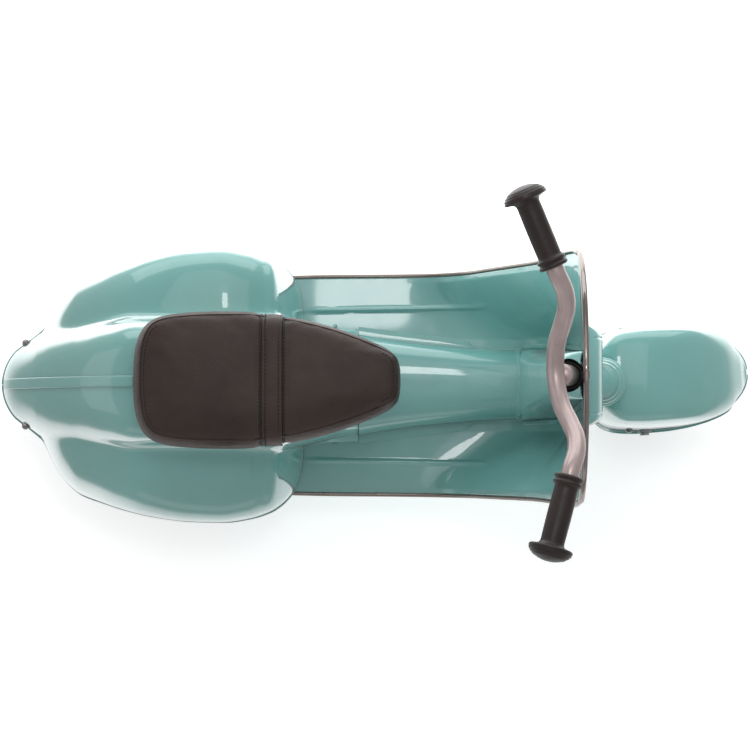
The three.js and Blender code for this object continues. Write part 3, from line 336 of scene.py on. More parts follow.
def fillet(profile, r=0.6, n=3, closed=False):
    """Rounds the corners of a polyline profile a little."""
    p = [np.asarray(q, float) for q in profile]
    out = [] if closed else [p[0]]
    rng = range(len(p)) if closed else range(1, len(p) - 1)
    for i in rng:
        a, b, c = p[i - 1], p[i], p[(i + 1) % len(p)]
        la, lc = np.linalg.norm(a - b), np.linalg.norm(c - b)
        if la < 1e-6 or lc < 1e-6:
            out.append(b)
            continue
        k = min(r, la * 0.45, lc * 0.45)
        s, e = b + (a - b) / la * k, b + (c - b) / lc * k
        for t in np.linspace(0, 1, n + 1):
            out.append((1 - t) ** 2 * s + 2 * t * (1 - t) * b + t * t * e)
    if not closed:
        out.append(p[-1])
    return [tuple(q) for q in out]


# ------------------------------------------------------------------ materials
def srgb(r, g, b):
    f = lambda c: ((c / 255 + 0.055) / 1.055) ** 2.4 if c > 10 else c / 255 / 12.92
    return (f(r), f(g), f(b), 1)


class Mat:
    def __init__(self, name):
        self.m = bpy.data.materials.new(name)
        self.m.use_nodes = True
        self.t = self.m.node_tree
        self.b = self.t.nodes["Principled BSDF"]
        self.out = self.t.nodes["Material Output"]
        self.coord = self.t.nodes.new("ShaderNodeTexCoord")

    def node(self, kind, **kw):
        n = self.t.nodes.new(kind)
        for k, v in kw.items():
            setattr(n, k, v)
        return n

    def link(self, a, b):
        self.t.links.new(a, b)

    def set(self, **kw):
        for k, v in kw.items():
            self.b.inputs[k.replace("_", " ")].default_value = v

    def noise(self, scale, detail=3, rough=0.5, vec=None):
        n = self.node("ShaderNodeTexNoise")
        n.inputs["Scale"].default_value = scale
        n.inputs["Detail"].default_value = detail
        n.inputs["Roughness"].default_value = rough
        self.link(vec or self.coord.outputs["Object"], n.inputs["Vector"])
        return n.outputs["Fac"]

    def ramp(self, fac, stops):
        n = self.node("ShaderNodeValToRGB")
        e = n.color_ramp.elements
        while len(e) < len(stops):
            e.new(0.5)
        for k, (p, c) in enumerate(stops):
            e[k].position = p
            e[k].color = c if len(c) == 4 else (*c, 1)
        self.link(fac, n.inputs["Fac"])
        return n.outputs["Color"]

    def bump(self, height, strength, dist, normal=None):
        n = self.node("ShaderNodeBump")
        n.inputs["Strength"].default_value = strength
        n.inputs["Distance"].default_value = dist
        self.link(height, n.inputs["Height"])
        if normal:
            self.link(normal, n.inputs["Normal"])
        return n.outputs["Normal"]

    def mix(self, fac, a, b, blend="MIX"):
        n = self.node("ShaderNodeMix", data_type="RGBA", blend_type=blend)
        for sock, v in ((n.inputs[0], fac), (n.inputs[6], a), (n.inputs[7], b)):
            if isinstance(v, bpy.types.NodeSocket):
                self.link(v, sock)
            else:
                sock.default_value = v
        return n.outputs[2]


def paint_material(name, base, dark, light, rim=1.0):
    k = Mat(name)
    k.set(Roughness=0.34, Metallic=0.0, Coat_Weight=1.0, Coat_Roughness=0.045, Coat_IOR=1.55, IOR=1.5)
    soft = k.noise(3.2, 2)
    fine = k.noise(46, 4, 0.6)
    col = k.ramp(soft, [(0.3, dark), (0.5, base), (0.72, light)])
    dust = k.ramp(fine, [(0.44, (1, 1, 1)), (0.86, (0.93, 0.935, 0.93))])
    col = k.mix(0.8, col, dust, "MULTIPLY")
    # rubbed enamel along pressed edges shows a slightly paler tone
    geo = k.node("ShaderNodeNewGeometry")
    edge = k.ramp(geo.outputs["Pointiness"], [(0.515, (0, 0, 0)), (0.56, (1, 1, 1))])
    scuff = k.ramp(k.noise(120, 5, 0.65), [(0.5, (0, 0, 0)), (0.62, (0.5, 0.5, 0.5))])
    wear = k.mix(1.0, edge, scuff, "MULTIPLY")
    col = k.mix(wear, col, tuple(min(1, c * 1.35) for c in light[:3]) + (1,))
    rough = k.ramp(fine, [(0.35, (0.28,) * 3), (0.75, (0.42,) * 3)])
    k.link(rough, k.b.inputs["Roughness"])
    peel = k.bump(k.noise(210, 2, 0.5), 0.05, 0.0004)
    k.link(peel, k.b.inputs["Normal"])
    wave = k.bump(k.noise(14, 1, 0.4), 0.05, 0.0012)
    k.link(wave, k.b.inputs["Coat Normal"])
    # glossy enamel picks up the bright surround strongly where it curves away
    gl = k.node("ShaderNodeBsdfGlossy")
    gl.inputs["Roughness"].default_value = 0.05
    gl.inputs["Color"].default_value = (1, 1, 1, 1)
    lw = k.node("ShaderNodeLayerWeight")
    lw.inputs["Blend"].default_value = 0.5
    r = k.ramp(lw.outputs["Facing"], [(0.25, (0, 0, 0)), (0.41, (0.02 * rim,) * 3), (0.458, (0.28 * rim,) * 3), (0.56, (0.40 * rim,) * 3), (0.8, (0.54 * rim,) * 3), (1, (0.7 * rim,) * 3)])
    # a choice of look, not a property of the enamel: the rim gloss is turned down by position along the lower
    # flank, at the tail and on the nose of the guard, to match the tones seen from above
    sep = k.node("ShaderNodeSeparateXYZ")
    k.link(k.coord.outputs["Object"], sep.inputs[0])

    def span(axis, a, b, top=1.0):
        n = k.node("ShaderNodeMapRange", interpolation_type="SMOOTHSTEP")
        n.inputs["From Min"].default_value, n.inputs["From Max"].default_value = a, b
        n.inputs["To Max"].default_value = top
        k.link(sep.outputs[axis], n.inputs["Value"])
        return n.outputs["Result"]

    def op(kind, a, b):
        n = k.node("ShaderNodeMath", operation=kind)
        for i, v in enumerate((a, b)):
            if isinstance(v, (int, float)):
                n.inputs[i].default_value = v
            else:
                k.link(v, n.inputs[i])
        return n.outputs[0]

    flank = op("MULTIPLY", span("Y", -0.075, -0.125), span("X", -0.31, -0.21, 0.75))
    ends = op("MAXIMUM", span("X", 0.305, 0.345, 0.72), span("X", -0.335, -0.372, 0.5))
    keep = op("SUBTRACT", 1.0, op("MAXIMUM", flank, ends))
    # the same by position for the base colour, as painted shade and light rather than a property of the enamel: greyer
    # towards the tail and the lower flank (painted shade), paler inside the left half of the shield (painted light)
    painted_shade = op("MULTIPLY", op("MAXIMUM", flank, span("X", -0.20, -0.31, 0.75)), 0.8)
    painted_light_shade_col = k.mix(painted_shade, col, k.mix(1.0, col, (0.90, 0.74, 0.73, 1), "MULTIPLY"))
    if rim < 1:
        # painted light: the base colour is made paler inside the left half of the shield
        painted_light = op("MULTIPLY", span("Y", -0.03, 0.05), span("X", 0.05, 0.13))
        painted_light_shade_col = k.mix(painted_light, painted_light_shade_col, k.mix(1.0, painted_light_shade_col, (1.5, 1.42, 1.42, 1), "MULTIPLY"))
    k.link(painted_light_shade_col, k.b.inputs["Base Color"])
    ms = k.node("ShaderNodeMixShader")
    k.link(op("MULTIPLY", r, keep), ms.inputs[0])
    k.link(k.b.outputs[0], ms.inputs[1])
    k.link(gl.outputs[0], ms.inputs[2])
    # painted shade: right at the silhouette a dark grey diffuse layer is mixed in, so the enamel reads as a thin grey
    # line
    line = k.node("ShaderNodeBsdfDiffuse")
    line.inputs["Color"].default_value = (0.12, 0.14, 0.14, 1)
    silhouette_shade_fac = k.ramp(lw.outputs["Facing"], [(0.86, (0, 0, 0)), (1.0, (0.75,) * 3)])
    me = k.node("ShaderNodeMixShader")
    k.link(silhouette_shade_fac, me.inputs[0])
    k.link(ms.outputs[0], me.inputs[1])
    k.link(line.outputs[0], me.inputs[2])
    k.link(me.outputs[0], k.out.inputs["Surface"])
    return k.m


def metal_material(name, col, rough, metallic=1.0, brushed=0.0, smudge=0.5):
    k = Mat(name)
    k.set(Metallic=metallic, Roughness=rough)
    n = k.noise(38, 4, 0.6)
    c = k.ramp(n, [(0.3, tuple(x * 0.86 for x in col[:3])), (0.7, tuple(min(1, x * 1.08) for x in col[:3]))])
    k.link(c, k.b.inputs["Base Color"])
    r = k.ramp(k.noise(90, 3, 0.6), [(0.3, (max(0.02, rough * (1 - smudge)),) * 3), (0.8, (min(1, rough * (1 + smudge)),) * 3)])
    k.link(r, k.b.inputs["Roughness"])
    k.link(k.bump(k.noise(420, 2, 0.5), 0.04 + brushed, 0.0003), k.b.inputs["Normal"])
    return k.m


def vinyl_material(name):
    k = Mat(name)
    k.set(Roughness=0.55, Coat_Weight=0.05, Coat_Roughness=0.35, Sheen_Weight=0.04, Sheen_Roughness=0.5, Specular_IOR_Level=0.34)
    v = k.node("ShaderNodeTexVoronoi", feature="F1")
    v.inputs["Scale"].default_value = 820
    k.link(k.coord.outputs["Object"], v.inputs["Vector"])
    v2 = k.node("ShaderNodeTexVoronoi", feature="DISTANCE_TO_EDGE")
    v2.inputs["Scale"].default_value = 430
    k.link(k.coord.outputs["Object"], v2.inputs["Vector"])
    big = k.noise(16, 3, 0.6)
    c = k.ramp(big, [(0.32, srgb(48, 33, 29)), (0.52, srgb(56, 41, 36)), (0.74, srgb(64, 49, 44))])
    vein = k.ramp(v2.outputs["Distance"], [(0.0, (0.72,) * 3), (0.09, (1,) * 3)])
    c = k.mix(0.6, c, vein, "MULTIPLY")
    k.link(c, k.b.inputs["Base Color"])
    r = k.ramp(k.noise(60, 3, 0.6), [(0.3, (0.48,) * 3), (0.75, (0.58,) * 3)])
    k.link(r, k.b.inputs["Roughness"])
    n1 = k.bump(v.outputs["Distance"], 0.22, 0.0005)
    n2 = k.bump(v2.outputs["Distance"], 0.3, 0.0006, n1)
    n3 = k.bump(k.noise(30, 2, 0.5), 0.05, 0.002, n2)
    k.link(n3, k.b.inputs["Normal"])
    return k.m


def rubber_material(name, lo, hi, rough=0.62, grain=300, strength=0.25):
    k = Mat(name)
    k.set(Roughness=rough, Specular_IOR_Level=0.42, Sheen_Weight=0.08)
    k.link(k.ramp(k.noise(26, 4, 0.6), [(0.3, lo), (0.72, hi)]), k.b.inputs["Base Color"])
    k.link(k.ramp(k.noise(55, 3, 0.6), [(0.3, (rough - 0.12,) * 3), (0.75, (rough + 0.12,) * 3)]), k.b.inputs["Roughness"])
    k.link(k.bump(k.noise(grain, 3, 0.6), strength, 0.0005), k.b.inputs["Normal"])
    return k.m


def nylon_material(name):
    k = Mat(name)
    k.set(Roughness=0.45, Subsurface_Weight=0.08)
    k.link(k.ramp(k.noise(22, 3), [(0.3, srgb(205, 200, 186)), (0.7, srgb(226, 222, 210))]), k.b.inputs["Base Color"])
    k.link(k.bump(k.noise(240, 2), 0.08, 0.0004), k.b.inputs["Normal"])
    return k.m


def frame_black(name):
    k = Mat(name)
    k.set(Roughness=0.38, Coat_Weight=0.5, Coat_Roughness=0.15)
    k.link(k.ramp(k.noise(18, 4, 0.6), [(0.3, srgb(26, 26, 28)), (0.75, srgb(46, 45, 46))]), k.b.inputs["Base Color"])
    k.link(k.bump(k.noise(180, 3, 0.6), 0.16, 0.0005), k.b.inputs["Normal"])
    k.link(k.ramp(k.noise(70, 3), [(0.3, (0.3,) * 3), (0.75, (0.5,) * 3)]), k.b.inputs["Roughness"])
    return k.m


PAINT = paint_material("enamel_mint", srgb(122, 180, 175), srgb(117, 175, 170), srgb(127, 184, 179))
# a darker copy of the mint enamel for the footboard, tunnel, column, lap strip and nose: painted shade; it also carries
# the painted light inside the left half of the shield
PAINT_SHADE_AND_LIGHT = paint_material("enamel_mint_painted_shade_and_light", srgb(114, 171, 167), srgb(108, 166, 162), srgb(119, 176, 171), 0.12)
CHROME = metal_material("bright_chrome", srgb(146, 138, 135), 0.16, 1.0, 0.0, 0.4)
EDGE = metal_material("edge_bead_metal", srgb(134, 124, 119), 0.34, 0.8, 0.02, 0.3)
SILVER = metal_material("silver_enamel", srgb(184, 166, 164), 0.36, 0.55, 0.0, 0.12)
STEEL = metal_material("zinc_plate", srgb(165, 162, 158), 0.32, 1.0, 0.05, 0.4)
VINYL = vinyl_material("grained_vinyl")
THREAD = rubber_material("waxed_thread", srgb(16, 12, 11), srgb(30, 24, 22), 0.75, 900, 0.3)
GRIP = rubber_material("grip_rubber", srgb(27, 17, 15), srgb(42, 28, 25), 0.46, 420, 0.2)
TYRE = rubber_material("tyre_rubber", srgb(26, 26, 27), srgb(44, 43, 42), 0.68, 260, 0.35)
BLACK_RUBBER = rubber_material("grommet_rubber", srgb(18, 14, 13), srgb(34, 28, 26), 0.5, 300, 0.2)
NYLON = nylon_material("nylon_natural")
BLACK = frame_black("frame_black_enamel")


def piece(name, vf, mat, body, replaces=(), sharp=38.0):
    o = obj(name, vf[0], vf[1], sharp)
    o.data.materials.append(mat)
    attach(o, body)
    if replaces:
        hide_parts(*replaces)
    return o


# ------------------------------------------------------------------ body shells
def end_w(x, tab):
    """Tail tip is a 50 mm radius arc in plan, then the table."""
    d = np.clip(x + 382.4, 0, None)
    arc = np.sqrt(np.maximum(0, 100 * d - d * d))
    return np.where(d < 11, arc, np.where(d < 14, arc + (pchip(tab, x) - arc) * smooth01(11, 14, d), pchip(tab, x)))


def end_h(x):
    d = np.clip(x + 382.4, 0, None)
    s = 8.1 * np.sqrt(d)
    tab = pchip(SPINE_Z, x) - pchip(RIM_Z, x)
    return s + (tab - s) * smooth01(6, 12, d)


def body_section(x, deg, off):
    """x: scalar, deg: array. Returns points (n, 3)."""
    z0 = float(pchip(RIM_Z, x))
    t = np.radians(deg)
    c, s = np.abs(np.cos(t)), np.abs(np.sin(t))

    def sup(a, h, n):
        return ((c / a) ** n + (s / h) ** n) ** (-1 / n)
    a = max(0.02, float(end_w(x, SPINE_W)) - off)
    h = max(0.02, float(end_h(x)) - off)
    r = sup(a, h, float(pchip(SPINE_N, x)))
    w, ch = float(end_w(x, RIM_W)) - off, float(pchip(COWL_H, x)) - off * 0.5
    if x > -352 and ch > 0.3:
        k = 30.0
        rc = sup(max(1, w), ch, float(pchip(COWL_N, x)))
        r = (r ** k + rc ** k) ** (1 / k)
    return np.stack([np.full_like(t, x), r * np.cos(t), z0 + r * np.sin(t)], axis=1)


def body_shell(side):
    hem = 2.0
    xs = list(-382.4 + hem + 0.045 * np.arange(0, 17) ** 2) + list(np.arange(-367, -340, 1.8)) + list(np.arange(-340, -296, 2.2)) \
        + list(np.arange(-296, -130, 5.0)) + list(np.arange(-130, -96, 3.0)) + list(np.arange(-96, -76, 1.4)) + list(np.arange(-76, -71, 0.6)) \
        + list(np.arange(-70.6, -16, 3.2)) + [-16.2]
    deg = np.concatenate([np.linspace(0, 30, 16)[:-1], np.linspace(30, 75, 46)[:-1], np.linspace(75, 90, 9)])
    rows = []
    for x in xs:
        # the wall stands in by the width of its hem; near the tail the hem runs round the end
        xt = x if x > -340 else -382.4 + (x + 382.4 - hem) * (42.4 / (42.4 - hem))
        p = body_section(xt, deg, hem * (0.4 + 0.6 * float(smooth01(-374, -334, xt))))
        p[:, 0] = x
        full = body_section(xt, np.array([0.0]), 0.0)[0]
        d = np.array([0.0, 1.0])
        if x < -352:
            g = 0.4
            tx = np.array([end_w(xt + g, RIM_W) - end_w(max(-382.4, xt - g), RIM_W), 2 * g])
            d = np.array([-abs(tx[0]), tx[1]]) / np.linalg.norm(tx)
        lip = [np.array([x + d[0] * hem * q, p[0, 1] + d[1] * hem * q if x < -352 else p[0, 1] + (full[1] - p[0, 1]) * q, p[0, 2] - z]) for q, z in ((1.0, 0.2), (0.6, 0.05), (0.25, -0.1))]
        if x > -71:
            lip = [np.array([x, p[0, 1] + 0.02 * k, p[0, 2] - 0.02 * k]) for k in (3, 2, 1)]
        rows.append(np.vstack([lip, p]))
    P = np.array(rows)
    P[:, :, 1] = np.maximum(P[:, :, 1], 0.18)
    P[:, :, 1] *= side
    out = P - np.array([-200, 0, 110])
    out[..., 0] *= 0.2
    V, F = sheet(P, SHEET, outward=out)
    return V, F


for side, nm in ((1, "body_shell_left"), (-1, "body_shell_right")):
    piece("skin_" + nm, body_shell(side), PAINT, "chassis", [nm], sharp=50)


def seam_strip():
    xs = np.concatenate([[-377.2], np.linspace(-376.4, -236, 76)])
    rows = []
    for x in xs:
        e = 0.5
        z = pchip(RIM_Z, x) + end_h(x)
        dz = (pchip(RIM_Z, x + e) + end_h(x + e) - pchip(RIM_Z, x - e) - end_h(x - e)) / (2 * e)
        n = np.array([-dz, 0, 1]) / math.hypot(dz, 1)
        row = []
        for y, l in ((-5.3, 0.0), (-5.15, 0.35), (-4.6, 0.55), (-2, 0.6), (2, 0.6), (4.6, 0.55), (5.15, 0.35), (5.3, 0.0)):
            row.append(np.array([x, y, float(z)]) + n * (l - 0.1))
        rows.append(row)
    return sheet(np.array(rows), 0.5, outward=np.array([0, 0, 1.0]))


piece("tail_strip", seam_strip(), PAINT, "chassis", ["tail_seam_strip"], sharp=60)


# ------------------------------------------------------------------ footboard and leg shield
def shield_x(z):
    z = np.asarray(z, float)
    low = BEND_X + np.sqrt(np.maximum(0, BEND_R ** 2 - (FLOOR_Z + BEND_R - z) ** 2))
    return np.where(z < FLOOR_Z + BEND_R, low, BEND_X + BEND_R - (z - FLOOR_Z - BEND_R) * SHIELD_LEAN)


def centre_row(i):
    """Middle line of the sheet at row i, rows may be fractional: x, z."""
    if i <= 4:
        return float(np.interp(i, [0, 1, 2, 3, 4], [-104, -40, 20, 70, 107])), FLOOR_Z
    if i <= 10:
        t = math.radians((i - 4) * 15)
        return BEND_X + BEND_R * math.sin(t), FLOOR_Z + BEND_R - BEND_R * math.cos(t)
    r = np.array(ROW_Z)
    z = float(np.interp(i, r[:, 0], r[:, 1]))
    return float(shield_x(z)), z


SWX = [[k, q[0]] for k, q in enumerate(SWEEP)]
SWZ = [[k, q[1]] for k, q in enumerate(SWEEP)]


def edge_row(i):
    """Outer edge of the sheet at row i: x, z, half width."""
    cx, cz = centre_row(i)
    if i >= 14:
        return cx, cz, float(pchip(SHIELD_W, cz))
    x, z = float(pchip(SWX, i)), float(pchip(SWZ, i))
    return x, z, float(pchip(ROW_W, i)) if i < 12 else float(pchip(SHIELD_W, z))


ROWS = np.concatenate([np.linspace(0, 2, 24)[:-1], np.linspace(2, 4, 30)[:-1], np.linspace(4, 12, 120)[:-1], np.linspace(12, 19, 90)[:-1],
                       19 + (1 - (1 - np.linspace(0, 0.985, 16)) ** 2)])


def sheet_grid(inset=2.0):
    T = np.linspace(-1, 1, 181) * 0.75 + np.sin(np.linspace(-math.pi / 2, math.pi / 2, 181)) * 0.25
    P = []
    for i in ROWS:
        cx, cz = centre_row(i)
        ex, ez, w = edge_row(i)
        y = T * max(0.3, w - inset)
        k = np.clip((np.abs(y) - 48) / 59, 0, 1)
        k = 0.5 * k + 0.5 * k * k * (3 - 2 * k)
        bow = 0.5 * float(smooth01(9, 11, i)) * (1 - (y / 118) ** 2)
        P.append(np.stack([(cx + bow) * (1 - k) + ex * k, y, cz * (1 - k) + ez * k], axis=1))
    return np.array(P)


def rider_side(P):
    n = grid_normals(P)
    ref = np.array([-0.4, 0, 1.0])
    return n if (n @ ref).sum() > 0 else -n


def bead(d, w):
    return np.clip(1 - (d / w) ** 2, 0, 1) ** 1.2


GRID = sheet_grid()
GN = rider_side(GRID)
gx, gy = GRID[..., 0], np.abs(GRID[..., 1])
line = 77.6 + (gx + 70) * 0.018
lift = 2.0 * bead(gy - line, 3.0) * smooth01(-72, -56, gx) * (1 - smooth01(104, 120, gx))
top_face = GRID + GN * lift[..., None]
fb = [sheet(top_face, SHEET, outward=np.broadcast_to(np.array([-0.4, 0, 1.0]), GRID.shape))]


def edge_line(side, lo=0.0, hi=20.0, out=0.0):
    """Edge points and rider-side normals between two rows."""
    sel = (ROWS >= lo) & (ROWS <= hi)
    pts, nrm = [], []
    col = -1 if side > 0 else 0
    for r in np.where(sel)[0]:
        ex, ez, w = edge_row(float(ROWS[r]))
        n = GN[r, col].copy()
        n[1] = 0
        pts.append([GRID[r, col, 0], side * (w + out), GRID[r, col, 2]])
        nrm.append(n / np.linalg.norm(n))
    return np.array(pts), np.array(nrm)


for side in (1, -1):
    # down-turned flange of the floor and of the sweep, with a rolled lower edge
    pts, nrm = edge_line(side, 0, 12.2)
    n = len(pts)
    fade = 1 - smooth01(n * 0.86, n - 1, np.arange(n))
    rows = []
    for q, m, f in zip(pts, nrm, fade):
        row = []
        for dy, dn in ((-2.0, 0.0), (-0.8, -0.15), (0.2, -0.8), (0.7, -2.0), (0.8, -4.0), (0.8, -4 - 7.5 * f), (1.5, -4.6 - 7.5 * f)):
            row.append(q + m * dn + np.array([0, side * dy, 0]))
        rows.append(row)
    fb.append(sheet(np.array(rows), 0.9, outward=np.broadcast_to(np.array([0, side * 1.0, 0.3]), (n, 7, 3))))
piece("footboard_and_shield", merge(fb), PAINT_SHADE_AND_LIGHT, "chassis", ["floorboard_legshield"], sharp=45)

# bright bead rolled over the sheet's long edges
eb = []
for side in (1, -1):
    pts, nrm = edge_line(side, 0, 11.9, 0.7)
    eb.append(sweep(pts - nrm * 1.3, circle(2.3, 16), up=(0, side, 0)))
piece("edge_bead", merge(eb), EDGE, "chassis", (), sharp=60)


# ------------------------------------------------------------------ tunnel cover
def tunnel_cover():
    deg = np.concatenate([np.linspace(0, 40, 10)[:-1], np.linspace(40, 140, 61), np.linspace(140, 180, 10)[1:]])
    P = []
    for x in list(np.linspace(-15.6, 104, 50)) + list(np.linspace(106, 152, 26)):
        wall, foot = float(pchip(TUNNEL_W, x)), float(pchip([[-16, 60.5], [10, 57.3], [70, 50.2], [92, 46.6], [99, 44.2], [101.5, 40.2], [147, 37.2]], x))
        zb = float(FLOOR_Z if x < BEND_X else FLOOR_Z + BEND_R - math.sqrt(BEND_R ** 2 - (x - BEND_X) ** 2)) + 0.35
        zt = 131.0
        n = float(pchip([[-16, 3.4], [60, 3.6], [120, 3.4], [152, 3.4]], x))
        t = np.radians(deg)
        c, s = np.abs(np.cos(t)), np.abs(np.sin(t))
        r = ((c / wall) ** n + (s / (zt - zb - 1.4)) ** n) ** (-1 / n)
        y, z = r * np.cos(t), zb + 1.4 + r * np.sin(t)
        lip = foot - wall
        L = [(foot, zb), (foot - 0.15, zb + 1.0), (foot - 0.7, zb + 1.3), (wall + max(0.6, lip * 0.3), zb + 1.4)]
        row = [[x, a, b] for a, b in L] + [[x, a, b] for a, b in zip(y, z)] + [[x, -a, b] for a, b in L[::-1]]
        P.append(row)
    return sheet(np.array(P), 1.0, outward=np.array([0, 0, 1.0]))


piece("tunnel_pressing", tunnel_cover(), PAINT_SHADE_AND_LIGHT, "chassis", ["tunnel_cover"], sharp=50)


# ------------------------------------------------------------------ column cover
def column_cover():
    deg = np.degrees(np.arctan2(np.sin(np.linspace(math.pi / 2, -math.pi / 2, 97)), np.cos(np.linspace(math.pi / 2, -math.pi / 2, 97)) * 1.0))
    deg = 180 - deg
    P = []
    # a foot that laps over the end of the tunnel, then the rising channel, then the rounded top
    for z in [97, 104, 112, 120, 126, 129, 130.4, 131.6, 133, 136, 142, 150] + list(np.arange(160, 352, 8)) + list(np.arange(352, 386, 1.7)) + [386.2]:
        w = float(pchip(COLUMN_W, z))
        flare = 9.0 * float(smooth01(352, 386, z)) * 0
        xf, xr = float(shield_x(z)) - 0.35, float(pchip(COL_REAR, z))
        t = np.radians(deg)
        a, b, n = max(1.2, xf - xr), w + 0.9, float(pchip([[97, 9], [131, 8], [165, 4.6], [300, 4.2], [352, 3.6], [386, 3.0]], z))
        c, s = np.abs(np.cos(t)), np.abs(np.sin(t))
        r = ((c / a) ** n + (s / b) ** n) ** (-1 / n)
        x, y = xf + r * np.cos(t), r * np.sin(t)
        foot = 5.5 + 5.0 * float(smooth01(340, 386, z))
        L = [(xf + 0.2, b + foot), (xf - 0.6, b + foot - 0.3), (xf - 1.0, b + foot - 1.2), (xf - 1.2, b + 1.0)]
        row = [[p, q, z] for p, q in L] + [[p, q, z] for p, q in zip(x, y)] + [[p, -q, z] for p, q in L[::-1]]
        P.append(row)
    return sheet(np.array(P), 1.0, outward=np.array([-1.0, 0, 0]))


def cut(o, cutter):
    m = o.modifiers.new("cut", "BOOLEAN")
    m.operation, m.object, m.solver = "DIFFERENCE", cutter, "EXACT"
    bpy.context.view_layer.objects.active = o
    bpy.ops.object.modifier_apply(modifier=m.name)
    bpy.data.objects.remove(cutter, do_unlink=True)
    o.data.polygons.foreach_set("use_smooth", [True] * len(o.data.polygons))
    o.data.set_sharp_from_angle(angle=math.radians(42))


col = piece("column_pressing", column_cover(), PAINT_SHADE_AND_LIGHT, "chassis", ["column_cover"], sharp=50)
cut(col, obj("tmp_cut", *lathe([(15.2, 0), (15.2, 80)], on_axis(345), AX, 48), 0))
tube_path = [[60, 0, 97]] + [[BEND_X + 70 * math.sin(t), 0, FLOOR_Z + BEND_R - 70 * math.cos(t)] for t in np.linspace(0, 1.2, 12)]
cut(col, obj("tmp_cut", *sweep(np.array(tube_path), circle(13.4, 24), up=(0, 1, 0)), 0))
flr = bpy.data.objects["footboard_and_shield"]
cut(flr, obj("tmp_cut", *lathe([(14.5, 0), (14.5, 175)], on_axis(205), AX, 48), 0))

# lap strip where column cover and tunnel cover join
lap = []
for x in (144.8, 145.4, 148.4, 149.0):
    row = []
    for t in np.radians(np.linspace(0, 180, 60)):
        c, s = abs(math.cos(t)), abs(math.sin(t))
        zb = float(FLOOR_Z + BEND_R - math.sqrt(BEND_R ** 2 - (x - BEND_X) ** 2)) + 0.5
        n = 3.4
        r = ((c / (36.3 if 145 < x < 148.8 else 35.2)) ** n + (s / ((132.4 if 145 < x < 148.8 else 131.2) - zb)) ** n) ** (-1 / n)
        row.append([x, r * math.cos(t), zb + r * math.sin(t)])
    lap.append(row)
piece("column_lap", sheet(np.array(lap), 0.8, outward=np.array([0, 0, 1.0])), PAINT_SHADE_AND_LIGHT, "chassis", (), sharp=50)

# rubber grommet round the stem
piece("stem_grommet", lathe(fillet([(10.1, -1), (13.8, -1), (14.6, 1.6), (13.9, 4.4), (11.6, 5.8), (10.1, 5.2), (10.1, -1)], 0.8, 4), on_axis(367.4), AX, 56), BLACK_RUBBER, "chassis", ["steering_grommet"])


# ------------------------------------------------------------------ nose casing
def nose_casing():
    Y = np.concatenate([np.linspace(-45, -30, 22)[:-1], np.linspace(-30, 30, 61), np.linspace(30, 45, 22)[1:]])
    P = []
    for z in list(np.arange(211.5, 345, 5)) + list(np.arange(345, 381.9, 1.3)) + [382.0]:
        xs = float(shield_x(z)) + 2 + 0.9 + 0.35
        top = math.sqrt(max(0.0, 1 - (max(0, z - 352) / 30.2) ** 2.4))
        ay = np.abs(Y)
        e = np.where(ay > 33, np.sqrt(np.clip(1 - ((ay - 33) / 12.02) ** 2.2, 0, 1)), 1)
        x = xs + np.maximum(0.15, 16 * e * top)
        br = 17.4
        bulge = float(on_axis(z)[0]) + np.sqrt(np.maximum(0, br ** 2 - ay ** 2)) - (1 - top) * 12
        bulge = np.where(ay < br, bulge, -1e3)
        k = 1.6
        x = np.where(bulge > xs - 40, np.logaddexp(x * 1.0 / k, bulge / k) * k, x)
        # long pressed crease lines either side of the middle panel
        x = x - 1.1 * np.exp(-((ay - 34.0) / 0.8) ** 2) * (top > 0.3)
        P.append(np.stack([x, Y, np.full_like(Y, z)], axis=1))
    return sheet(np.array(P), 1.0, outward=np.array([1.0, 0, 0]))


nose = piece("nose_pressing", nose_casing(), PAINT_SHADE_AND_LIGHT, "chassis", ["nose_casing"], sharp=50)


# ------------------------------------------------------------------ edge trim
def trim_path(side):
    pts, nrm = edge_line(side, 11.6, 20)
    pts = pts - nrm * 0.7
    keep = np.abs(pts[:, 1]) > 12
    pts, nrm = pts[keep], nrm[keep]
    end = np.array([[float(shield_x(398)) + 1.2, side * y, 398.15] for y in (7.0, 1.0)])
    p = np.vstack([pts, end])
    q = resample(p, step=2.2)
    nn = np.stack([np.interp(np.linspace(0, 1, len(q)), np.linspace(0, 1, len(nrm) + 2), np.append(nrm[:, k], [nrm[-1, k]] * 2)) for k in range(3)], axis=1)
    return q, nn


bead_sec = np.array([(2.9 * math.cos(t), 2.5 * math.sin(t)) for t in np.linspace(0, 2 * math.pi, 22, endpoint=False)])
for side, nm in ((1, "trim_left"), (-1, "trim_right")):
    path, pn = trim_path(side)
    n, m = len(path), len(bead_sec)
    T = np.gradient(path, axis=0)
    T /= np.linalg.norm(T, axis=1, keepdims=True)
    V = []
    for i in range(n):
        fx = -pn[i]
        fx = fx - T[i] * (fx @ T[i])
        fx /= np.linalg.norm(fx)
        o = np.cross(T[i], fx)
        if o @ np.array([0, side * 0.6, 0.8]) < 0:
            o = -o
        k = 1.0 if i > 1 else (0.75 if i == 0 else 0.93)
        V += [path[i] + k * (a * fx + (b + 0.4) * o) for a, b in bead_sec]
    F = grid_faces(n, m, close_v=True) + [tuple(range(m)), tuple((n - 1) * m + j for j in range(m))[::-1]]
    V = np.array(V)
    piece("bead_" + nm, (V, orient(V, F)), CHROME, "chassis", [nm])

